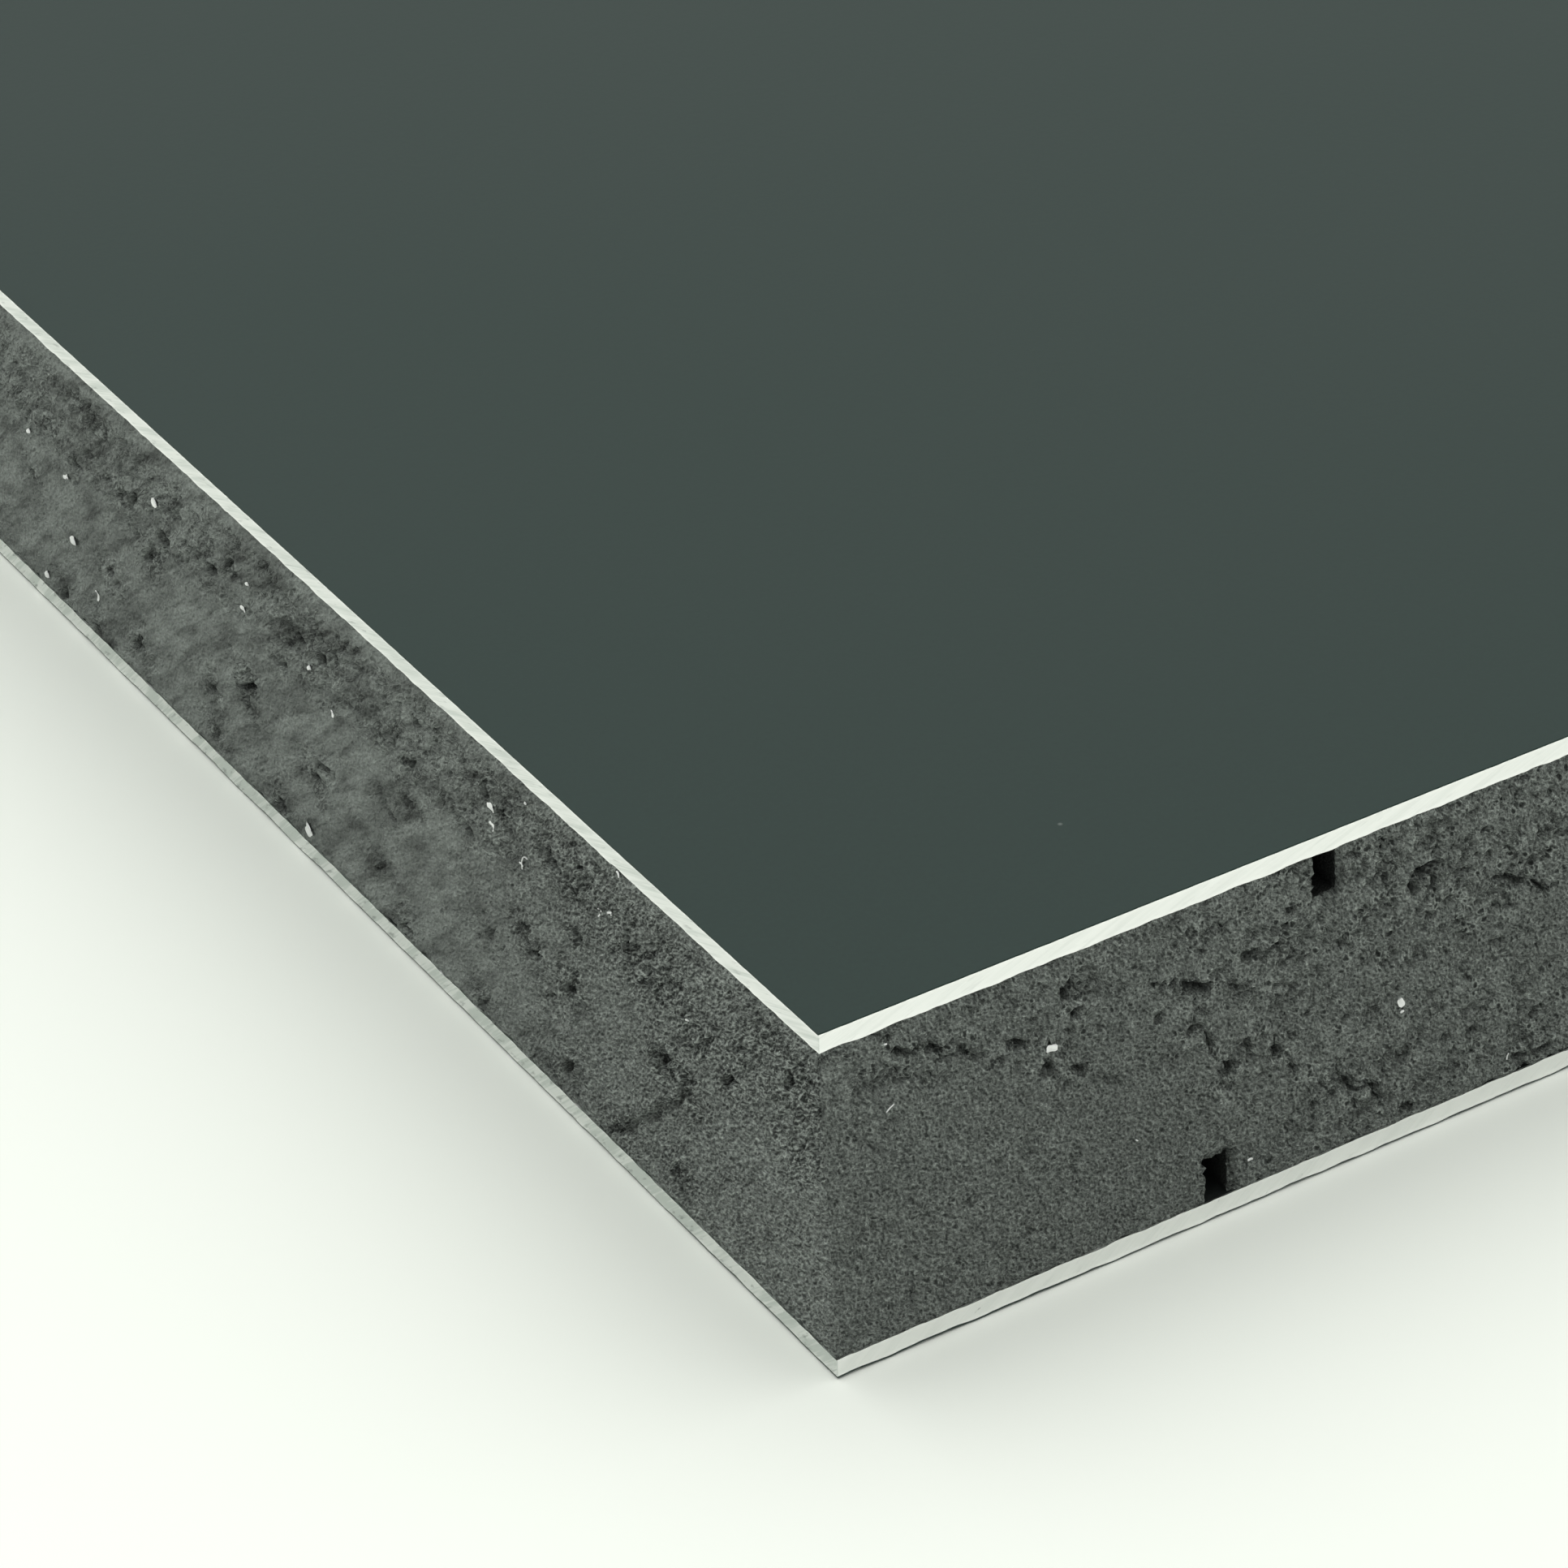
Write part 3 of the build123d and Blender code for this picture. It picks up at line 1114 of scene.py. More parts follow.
@dataclass(frozen=True)
class TornRelief:
    """The shape that the saw leaves on foam: nap, crumbs, broad saw waves, pits, cracks and tears.

    Heights and depths are in millimetres, and each size is that of one rise and fall.
    """

    nap: float = 0.09
    nap_size: float = 0.65
    crumbs: float = 0.18
    crumb_size: float = 1.6
    waves: float = 0.06
    wave_width: float = 1.9
    wave_length: float = 60.0
    pit_depth: float = 0.75
    pit_size: float = 0.8
    pit_threshold: float = 0.64
    crack_width: float = 0.17
    crack_patch: float = 2.1
    lip: float = 0.14
    bend: float = 0.55
    bend_size: float = 1.6
    rim_wear: float = 0.14
    rim_reach: float = 0.28
    blade: Blade = Blade()

    def bent(self, across: Array, up: Array, seed: int) -> tuple[Array, Array]:
        """Bends places by two ripples, so that no outline drawn on them is regular."""
        lattice = across / self.bend_size, up / self.bend_size
        return across + self.bend * ripple(*lattice, seed), up + self.bend * ripple(*lattice, seed + 1)

    def roughness(self, side: Side, along: Array, level: Array, above: Array) -> Array:
        """Works out how rough the foam is where it has no wound.

        Formula: broad ripples and ripples along the blade's arcs are added and eased. On the near side the
        foam gets rougher upwards and away from the corner, and on the left side in a band below the top.

        Args:
            side: The side.
            along: Places along it, as a column.
            level: Heights, as a row.
            above: The same heights above the foam's lower rim.

        Returns:
            The roughness, from 0 to about 1.
        """
        across, way = self.blade.arcs(along, level, side.lean)
        patches = ripples(along / 15.0, level / 7.0, side.seed + Draw.PATCHES, layers=2)
        patches = patches + 0.8 * ripple(across / 2.6, way / 40.0, side.seed + Draw.SAW_PATCHES)
        rough = 0.7 * rise(patches, start=-0.25, width=0.9)
        if side.name == "near":
            upper = 0.3 * rise(above, start=11.0, width=8.0)
            return 0.5 * rough + upper + 0.4 * rise(along, start=24.0, width=12.0)
        if side.name == "left":
            band = rise(above, start=13.0, width=4.5) * (1.0 - rise(above, start=23.0, width=1.0))
            uneven = 0.6 + 0.35 * ripple(along / 9.0, level / 5.0, side.seed + Draw.BAND)
            return 0.35 * rough + band * uneven
        return rough

    def surface(self, side: Side, along: Array, level: Array, crumbs: Array) -> Array:
        """Works out the foam's height where nothing is torn.

        Formula: the nap is a fine ripple along the crumbs, weaker where the foam is rubbed. The crumbs are
        added, and the waves are ripples along the blade's arcs.

        Args:
            side: The side.
            along: Places along it, as a column.
            level: Heights, as a row.
            crumbs: The height of the crumbs.

        Returns:
            The height above the side.
        """
        wide, long = side.combed(along, level)
        across, way = self.blade.arcs(along, level, side.lean)
        nap = ripples(wide / self.nap_size, long / self.nap_size, side.seed + Draw.NAP, layers=2)
        nap = self.nap * (1.0 - 0.5 * side.rubbed(along)) * nap
        waves = ripple(across / self.wave_width, way / self.wave_length, side.seed + Draw.SAW_WAVES)
        return nap + crumbs + self.waves * waves

    def tears(self, side: Side, curled: tuple[Array, Array], gaps: Array, rough: Array) -> Array:
        """Works out the small pits and cracks.

        Formula: a pit is where a ripple passes a threshold, which falls as the foam gets rougher. A crack is
        a gap between crumbs where another ripple is high and the foam is rough.

        Args:
            side: The side.
            curled: Bent places across and along the crumbs.
            gaps: How far each place lies from the gaps between the crumbs.
            rough: The roughness.

        Returns:
            How deeply each point is torn, as a share of the pit depth.
        """
        wide, long = curled
        pits = ripples(wide / self.pit_size, long / self.pit_size, side.seed + Draw.PITS, layers=2)
        pits = rise(pits + 0.38 * rough, start=self.pit_threshold, width=0.2)
        gate = ripple(wide / self.crack_patch, long / self.crack_patch, side.seed + Draw.CRACK_GATE)
        cracks = ease((self.crack_width - gaps) / 0.12) * rise(gate, start=-0.05, width=0.35)
        return np.maximum(0.62 * pits, 0.5 * cracks * np.minimum(1.3 * rough, 1.0))

    def heights(self, side: Side, along: Array, level: Array, low: float, high: float) -> Places:
        """Works out the torn surface of a side.

        Formula: the crumbs are ripples and the cells between their gaps, higher where the foam is rough. The
        wounds, pits and cracks go down from the surface by the pit depth, the wounds' lips stand out, and
        the rims wear back as a bell curve.

        Args:
            side: The side.
            along: Places along it, as a column.
            level: Heights, as a row.
            low: The foam's lower rim.
            high: Its upper rim.

        Returns:
            How far each point stands proud, how deeply it is torn and how rough the foam is round it.
        """
        bent = self.bent(along, level, side.seed + Draw.BEND)
        curled = self.bent(*side.combed(along, level), side.seed + Draw.CURL)
        rough = self.roughness(side, along, level, level - low)
        torn, lips = np.zeros(rough.shape), np.zeros(rough.shape)
        for wound in WOUNDS.get(side.name, ()):
            share, lip, close = self.wound_shape(wound, side, *bent)
            torn, lips, rough = np.maximum(torn, share), np.maximum(lips, lip), np.maximum(rough, close)
        gaps = crumb_gaps(*curled, side.seed + Draw.CRUMB_GAPS)
        smooth = side.rubbed(along)
        place = curled[0] / self.crumb_size, curled[1] / self.crumb_size
        lumps = ripples(*place, side.seed + Draw.CRUMBS, layers=3)
        lumps = lumps + 0.7 * np.minimum(gaps, 0.5) - 0.2
        height = self.surface(side, along, level, self.crumbs * (0.3 + 0.3 * smooth + 0.7 * rough) * lumps)
        torn = np.maximum(torn, self.tears(side, curled, gaps, rough) * (1.0 - 0.15 * smooth))
        rim = np.minimum(high - level, level - low)
        uneven = 0.7 + 0.6 * ripple(along / 0.8, level * 0.0, side.seed + Draw.RIM_WEAR)
        height = height - self.rim_wear * bell(rim, self.rim_reach) * uneven
        height = height + self.lip * lips * (1.0 - torn) - self.pit_depth * torn
        return {PROUD: height, TORN_PIT_SHADE: np.minimum(torn, 1.0), ROUGH: rough}

    def wound_shape(self, wound: Wound, side: Side, along: Array, level: Array) -> tuple[Array, Array, Array]:
        """Works out what a wound does to each place.

        Formula: the place is turned to the wound's axes and divided by its half sizes. Its distance from
        the middle, plus a ripple, is eased from 0 at the outline to 1 inside. The lip is a bell curve of
        the same distance just past the upper outline. The foam is rough within a few millimetres.

        Args:
            wound: The wound.
            side: The side that it is in.
            along: Bent places along the side.
            level: Bent heights.

        Returns:
            The depth as a share of the full pit depth, the lip's share and the roughness round it.
        """
        turn = math.radians(wound.tilt)
        right, up = along - side.at(wound.away), level - wound.level
        near = (math.cos(turn) * right + math.sin(turn) * up) / (wound.length / 2)
        over = (math.cos(turn) * up - math.sin(turn) * right) / (wound.width / 2)
        uneven = ripples(along / 0.9, level / 0.7, side.seed + Draw.WOUND_EDGE, layers=3)
        away = np.sqrt(near**2 + over**2) + wound.ragged * uneven
        share = ease((1.1 - away) / 0.45) * wound.depth / self.pit_depth
        lip = bell(away - 1.5, 0.45) * ease(over)
        return share, lip, np.exp(-(right**2 + up**2) / wound.reach**2) * wound.depth


@dataclass(frozen=True)
class RaggedMouth:
    """How ragged and worn the blade left the grooves' mouths, in millimetres."""

    wander: float = 0.55
    wander_size: float = 0.36
    wander_reach: float = 0.45
    bottom_share: float = 0.25
    bottom_size: float = 0.8
    bottom_reach: float = 0.5
    face_fade: float = 0.25
    wear: float = 0.55
    wear_size: float = 0.6
    wear_past_wall: float = 0.75
    wear_past_bottom: float = 0.45
    draws: int = 5  # how many seeds each mouth has to itself

    def shift(self, side: Side, groove: Groove, seed: int, face: float, along: Array,
              level: Array) -> tuple[Array, Array, Array]:
        """Makes one mouth ragged.

        Formula: near a wall, places move along the side by a ripple of their height, and near the groove's
        bottom they move up or down by a ripple of their place. Both fade as a bell curve of the distance.
        Past the far wall and the bottom the foam is worn back as another bell curve.

        Args:
            side: The side that the mouth is in.
            groove: The groove.
            seed: Which ripples to use.
            face: The level of the foam's face that the groove opens in.
            along: Places along the side.
            level: Heights.

        Returns:
            The moves along and up, and how far the foam is worn back.
        """
        walls = side.walls(groove.left, groove.right)
        inside = np.abs(level - face) <= abs(groove.bottom - face) + TOUCH
        fade = ease(np.abs(level - face) / self.face_fade) * inside
        aside = sum(bell(along - wall, self.wander_reach) * wavering(level / self.wander_size, seed + turn, 2)
                    for turn, wall in enumerate(walls)) * fade
        between = (along > walls[0] - TOUCH) & (along < walls[1] + TOUCH)
        lift = bell(level - groove.bottom, self.bottom_reach) * between
        lift = lift * wavering(along / self.bottom_size, seed + 2, 2)
        past_wall = bell(along - walls[1], self.wear_past_wall) * (along >= walls[1] - TOUCH) * inside
        past_bottom = bell(level - groove.bottom, self.wear_past_bottom) * between
        uneven = 0.7 + 0.6 * ripple(along / self.wear_size, level / self.wear_size, seed + 3)
        worn = self.wear * np.maximum(past_wall, past_bottom) * uneven
        return self.wander * aside, self.bottom_share * self.wander * lift, worn


# What the foam's finish reads inside a groove: fully torn, so its walls take the pit's colour as painted
# shade
GROOVE_VALUES = {TORN_PIT_SHADE: 1.2, ROUGH: 0.5, COMBED: 0.0, RUBBED: 0.0, PROUD: 0.0}


@dataclass
class FoamCore:
    """The foam core: a ring of four torn sides, vent grooves right through, and two hidden flat faces."""

    node: str = "foam_core"
    slot: str = "core_foam"
    grading: Grading = Grading(fine=0.25)
    row_height: float = 0.28
    mouth_cuts: int = 3
    seen_mouth_cuts: int = 9
    steps_in: tuple[float, ...] = (0.35, 0.8, 1.4, 2.2, 3.2, 4.6, 6.6, 9.5, 14.0, 22.0, 40.0, 80.0, 150.0)
    wall_wander: float = 0.05
    mouth_wander: float = 0.13
    mouth_reach: float = 6.0
    wander_sizes: tuple[float, float] = (1.1, 1.6)
    crease: float = 75.0
    mouth: RaggedMouth = RaggedMouth()
    relief: TornRelief = TornRelief()
    finish: TornFoam = TornFoam()

    def __post_init__(self) -> None:
        """Reads the core's box and grooves from the frame, and places the rows and stations."""
        self.low, self.high = box_of(self.node)
        self.sides = walk_sides(self.low, self.high)
        self.grooves = read_grooves(self.node)
        self.rows = self.place_rows()
        self.stations = [self.place_stations(side) for side in self.sides]

    def place_rows(self) -> Array:
        """Cuts the foam's height into rows, with one at the level of each groove's bottom."""
        keys = np.unique(np.round([self.low[2], *(g.bottom for g in self.grooves), self.high[2]], 3))
        counts = np.maximum(1, np.round(np.diff(keys) / self.row_height)).astype(int)
        spans = [np.linspace(a, b, n, endpoint=False) for a, b, n in zip(keys[:-1], keys[1:], counts)]
        return np.concatenate([*spans, keys[-1:]])

    def place_stations(self, side: Side) -> Array:
        """Cuts a side into stations, with one at each wall of the grooves that come out in it.

        Args:
            side: The side.

        Returns:
            The stations' places along the side, closer together across a mouth.
        """
        keys, fixed = [0.0, side.length], {}
        for groove in self.grooves if side.lean is Lean.FALLING else ():
            walls = [round(wall, 3) for wall in side.walls(groove.left, groove.right)]
            seen = groove.left - self.low[0] < self.grading.shown["near"]
            fixed[walls[0]] = self.seen_mouth_cuts if seen else self.mouth_cuts
            keys += walls
        return self.grading.stations(side, np.unique(keys), fixed)

    def mouths(self, side: Side, along: Array, level: Array) -> tuple[Array, Array, Array]:
        """Makes the grooves' mouths ragged where they come out in an end.

        Formula: the moves and the wear of all the mouths are added up.

        Args:
            side: The side.
            along: Places along it.
            level: Heights.

        Returns:
            The moves along and up, and how far the foam is worn back.
        """
        none = np.zeros(np.broadcast(along, level).shape)
        total = [none, none, none]
        for number, groove in enumerate(self.grooves if side.lean is Lean.FALLING else ()):
            seed = side.seed + Draw.MOUTHS + self.mouth.draws * number
            face = self.high[2] if groove.opens_up else self.low[2]
            parts = self.mouth.shift(side, groove, seed, face, along, level)
            total = [so_far + part for so_far, part in zip(total, parts)]
        return total[0], total[1], total[2]

    def ring(self, shell: Shell) -> tuple[Array, Array]:
        """Adds the points of the four torn sides.

        Formula: each side's stations and rows are a grid, moved by the mouths' raggedness and out of the
        side by the relief. The rims' rows keep their levels, so that the flat faces stay flat.

        Args:
            shell: The mesh under construction.

        Returns:
            The ring's point numbers, stations by rows, with the first station again at the end, and
            the stations' places round the ring.
        """
        places, around, passed = [], [], 0.0
        values = {TORN_PIT_SHADE: [], ROUGH: [], COMBED: [], RUBBED: [], PROUD: []}
        level = self.rows[None, :]
        edge = (level == self.rows[0]) | (level == self.rows[-1])
        for number, (side, stations) in enumerate(zip(self.sides, self.stations)):
            along = stations[:-1, None]
            relief = self.relief.heights(side, along, level, self.low[2], self.high[2])
            move, lift, worn = self.mouths(side, along, level)
            height = relief[PROUD] - worn
            spot = along + move, height, np.where(edge, level, level + lift)
            places.append(side.place(*spot, self.sides[number - 1].outward))
            # painted shade: the worn foam at the mouths takes the pit's colour
            values[TORN_PIT_SHADE].append(np.maximum(relief[TORN_PIT_SHADE], 0.95 * worn / self.mouth.wear))
            values[ROUGH].append(relief[ROUGH])
            values[COMBED].append(np.full(height.shape, RAKINGS[side.lean].raked))
            values[RUBBED].append(side.rubbed(along) + 0.0 * height)
            values[PROUD].append(height)
            around.append(stations[:-1] + passed)
            passed += side.length
        values = {name: np.concatenate(parts) for name, parts in values.items()}
        numbers = shell.points(np.concatenate(places), **values)
        return np.concatenate([numbers, numbers[:1]]), np.append(np.concatenate(around), passed)

    def ring_marks(self) -> Places:
        """For each face of the ring and each of its corners, the place on the saw's arcs and in the felt."""
        parts = {SAW_MAP: [], FELT_MAP: []}
        for side, stations in zip(self.sides, self.stations):
            place = stations[:, None], self.rows[None, :]
            arcs, felt = self.relief.blade.arcs(*place, side.lean), side.combed(*place)
            parts[SAW_MAP].append(around_cells(np.stack(arcs, axis=-1) + side.seed))
            parts[FELT_MAP].append(around_cells(np.stack(felt, axis=-1) + side.seed))
        return {name: np.concatenate(cells) for name, cells in parts.items()}

    def mouth_path(self, groove: Groove) -> tuple[Array, Array, Array]:
        """Follows a groove's section as points of the ring.

        Args:
            groove: The groove.

        Returns:
            The path's stations in the near side and in the far side, and its rows. It starts at one
            wall's rim, and the groove's inside lies to its left, seen from in front.
        """
        near, far = self.stations[0], self.stations[2]
        first, last = (int(np.argmin(np.abs(near - (x - self.low[0])))) for x in (groove.left, groove.right))
        mirrored = int(np.argmin(np.abs(far - (self.high[0] - groove.left))))
        bottom = int(np.argmin(np.abs(self.rows - groove.bottom)))
        if groove.opens_up:
            wall = np.arange(self.rows.size - 1, bottom - 1, -1)
            columns = np.arange(first, last + 1)
        else:
            wall = np.arange(0, bottom + 1)
            columns = np.arange(last, first - 1, -1)
        floor = columns[1:-1]
        path = np.concatenate([np.full(wall.size, columns[0]), floor, np.full(wall.size, columns[-1])])
        rows = np.concatenate([wall, np.full(floor.size, bottom), wall[::-1]])
        far_side = self.stations[0].size + self.stations[1].size - 2
        return path, far_side + mirrored - (path - first), rows

    def carve(self, shell: Shell, ring: Array, groove: Groove, keep: Array) -> Array:
        """Cuts a groove through the foam, between its two mouths in the ring.

        Formula: the section is carried along Y. Its walls wander by a ripple of the depth and of the
        place on the section, which fades from the mouths inwards.

        Args:
            shell: The mesh under construction.
            ring: The ring's point numbers.
            groove: The groove.
            keep: Which faces of the ring stay. The groove's mouths are struck out of it.

        Returns:
            The groove's point numbers, section by depth.
        """
        path, far_path, rows = self.mouth_path(groove)
        for columns in (path, far_path):
            keep[columns.min():columns.max(), rows.min():rows.max()] = False
        length = self.high[1] - self.low[1]
        steps = np.array(self.steps_in)
        depth = np.concatenate([steps, [length / 2], (length - steps)[::-1]])
        x = (self.low[0] + self.stations[0][path])[:, None]
        z = self.rows[rows][:, None]
        order = np.arange(path.size)
        way = order[:, None] * self.row_height
        seed = Draw.GROOVE_WALLS + int(round(groove.left))
        from_mouth = np.minimum(depth, length - depth)
        fade = self.wall_wander + self.mouth_wander * np.exp(-from_mouth / self.mouth_reach)
        fade = fade * (np.minimum(order, order[::-1])[:, None] > 0)
        wander = fade * ripples(way / self.wander_sizes[0], depth / self.wander_sizes[1], seed, layers=2)
        on_wall = np.abs(z - groove.bottom) > TOUCH
        spot = x + wander * on_wall, self.low[1] + depth, z + wander * ~on_wall
        inner = shell.points(np.stack(np.broadcast_arrays(*spot), axis=-1), **GROOVE_VALUES)
        numbers = np.concatenate([ring[path, rows][:, None], inner, ring[far_path, rows][:, None]], axis=1)
        through = np.concatenate([[0.0], depth, [length]])
        marks = around_cells(np.stack(np.broadcast_arrays(way, through), axis=-1))
        flat = self.tuck(way, groove, numbers.shape)
        shell.grid(numbers, {SAW_MAP: marks, FELT_MAP: marks, BAKE_MAP: flat})
        return numbers

    def tuck(self, way: Array, groove: Groove, shape: tuple[int, int]) -> Array:
        """Gives a groove's faces a small patch of the bake map, because hardly any of it is seen."""
        step, width, low, height = 0.05, 0.04, 0.97, 0.02
        reach = np.linspace(0.0, 1.0, shape[1])[None, :]
        across = step * self.grooves.index(groove) + width * way / way.max()
        return around_cells(np.stack(np.broadcast_arrays(across, low + height * reach), axis=-1))

    def close_faces(self, shell: Shell, ring: Array, cut: list[tuple[Groove, Array]]) -> None:
        """Closes the core's two flat faces, in strips between the grooves that open in them.

        Formula: a strip's rim runs along the near side to the next groove's wall, back along that wall to
        the far side, and home along the wall of the groove before. On the bake map it is a small circle.

        Args:
            shell: The mesh under construction.
            ring: The ring's point numbers.
            cut: Each groove with its point numbers.
        """
        ends = np.cumsum([0] + [stations.size - 1 for stations in self.stations])
        map_middle, map_radius = 0.985, 0.005
        for opens_up, row in ((True, self.rows.size - 1), (False, 0)):
            first_wall, last_wall = (0, -1) if opens_up else (-1, 0)
            before = ends[4], ends[3], ring[np.arange(ends[3] + 1, ends[4]), row]
            walls = [(self.mouth_path(g), points) for g, points in cut if g.opens_up == opens_up]
            for (path, far_path, _), points in [*walls, ((None, None, None), None)]:
                near_start, far_end, back = before
                if points is None:
                    loop = ring[np.arange(near_start % ends[4], far_end + 1), row]
                else:
                    near = ring[np.arange(near_start % ends[4], path[first_wall] + 1), row]
                    far = ring[np.arange(far_path[first_wall], far_end + 1), row]
                    loop = np.concatenate([near, points[first_wall, 1:-1], far])
                    before = path[last_wall], far_path[last_wall], points[last_wall, 1:-1][::-1]
                loop = np.concatenate([loop, back])
                turn = np.linspace(0.0, math.tau, loop.size, endpoint=False)
                flat = map_middle + map_radius * np.stack([np.cos(turn), np.sin(turn)], axis=-1)
                shell.plate(loop if opens_up else loop[::-1], flat)

    def build(self) -> bpy.types.Object:
        """Makes the core, dresses it and puts it in the place of its node."""
        shell = Shell()
        ring, around = self.ring(shell)
        keep = np.ones((ring.shape[0] - 1, ring.shape[1] - 1), bool)
        cut = [(groove, self.carve(shell, ring, groove, keep)) for groove in self.grooves]
        along, up = np.broadcast_arrays(around[:, None], self.rows - self.low[2])
        flat = BakeSheet(self.high[2] - self.low[2]).spots(around_cells(along), around_cells(up))
        shell.grid(ring, self.ring_marks() | {BAKE_MAP: flat}, keep=keep)
        self.close_faces(shell, ring, cut)
        piece = shell.make("grooved_foam_core", [self.finish.material()], crease=self.crease)
        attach(piece, BODY)
        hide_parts(self.node)
        return piece


# The facing sheets


class CoatSide(Enum):
    """Which face of a sheet has the coat that shows. Its value is added to the sides' seeds."""

    TOP = 11
    UNDERSIDE = 17


class EdgeDraw(IntEnum):
    """Which random draw a pattern of a sheet's sawn edge takes."""

    STREAKS = 0
    NICKS = 1
    WAVER = 2
    BURR = 3
    DENTS = 4
    SAG = 6


@dataclass(frozen=True)
class EdgeRelief:
    """The relief of a sheet's sawn edge, in millimetres. Each size is that of one rise and fall."""

    streak: float = 0.02
    streak_width: float = 0.9
    streak_length: float = 8.0
    nick: float = 0.06
    nick_size: float = 0.7
    nick_reach: float = 0.15
    waver: float = 0.025
    waver_size: float = 0.9
    chipped: float = 0.05
    chipped_until: float = 16.0
    chipped_fade: float = 8.0
    dent: float = 0.06
    dent_size: float = 3.1
    sag: float = 0.26
    sag_size: float = 5.0
    sag_mean: float = 0.04
    sag_least: float = -0.18
    sag_most: float = 0.13
    burr: float = 0.15
    burr_size: float = 2.4
    burr_least: float = -0.35

    def streaks(self, across: Array, way: Array, seed: int) -> Array:
        """How far the saw's streaks stand proud: ripples, long along the blade's arcs."""
        place = across / self.streak_width, way / self.streak_length
        return self.streak * ripples(*place, seed + EdgeDraw.STREAKS, layers=3)

    def nicks(self, along: Array, rim: Array, seed: int) -> Array:
        """How deep the nicks are: a fine ripple past a threshold, fading from the rims as a bell curve."""
        nicks = rise(wavering(along / self.nick_size, seed + EdgeDraw.NICKS, layers=1), start=0.55, width=0.3)
        return self.nick * nicks * bell(rim, self.nick_reach)

    def coat_waver(self, along: Array, from_corner: Array, seed: int, under: bool) -> Array:
        """How much deeper the coat's edge lies: a ripple, and a step near the corner underneath."""
        chipped = 1.0 - rise(from_corner, self.chipped_until, self.chipped_fade)
        waver = wavering(along / self.waver_size, seed + EdgeDraw.WAVER, layers=2)
        return self.waver * waver + self.chipped * chipped * under

    def rim_sag(self, along: Array, seed: int) -> Array:
        """How far the underside's rim bends down: dents past a threshold, and ripples."""
        dents = wavering(along / self.dent_size, seed + EdgeDraw.DENTS, layers=1)
        dents = rise(dents, start=0.62, width=0.15)
        bends = self.sag * wavering(along / self.sag_size, seed + EdgeDraw.SAG, layers=4)
        return np.clip(self.sag_mean + self.dent * dents + bends, self.sag_least, self.sag_most)

    def burrs(self, along: Array, seed: int) -> Array:
        """How far the burr reaches past the sheet's face: eased ripples, moved down."""
        waves = wavering(along / self.burr_size, seed + EdgeDraw.BURR, layers=5)
        return self.burr * (rise(waves, start=-0.5, width=1.0) + self.burr_least)


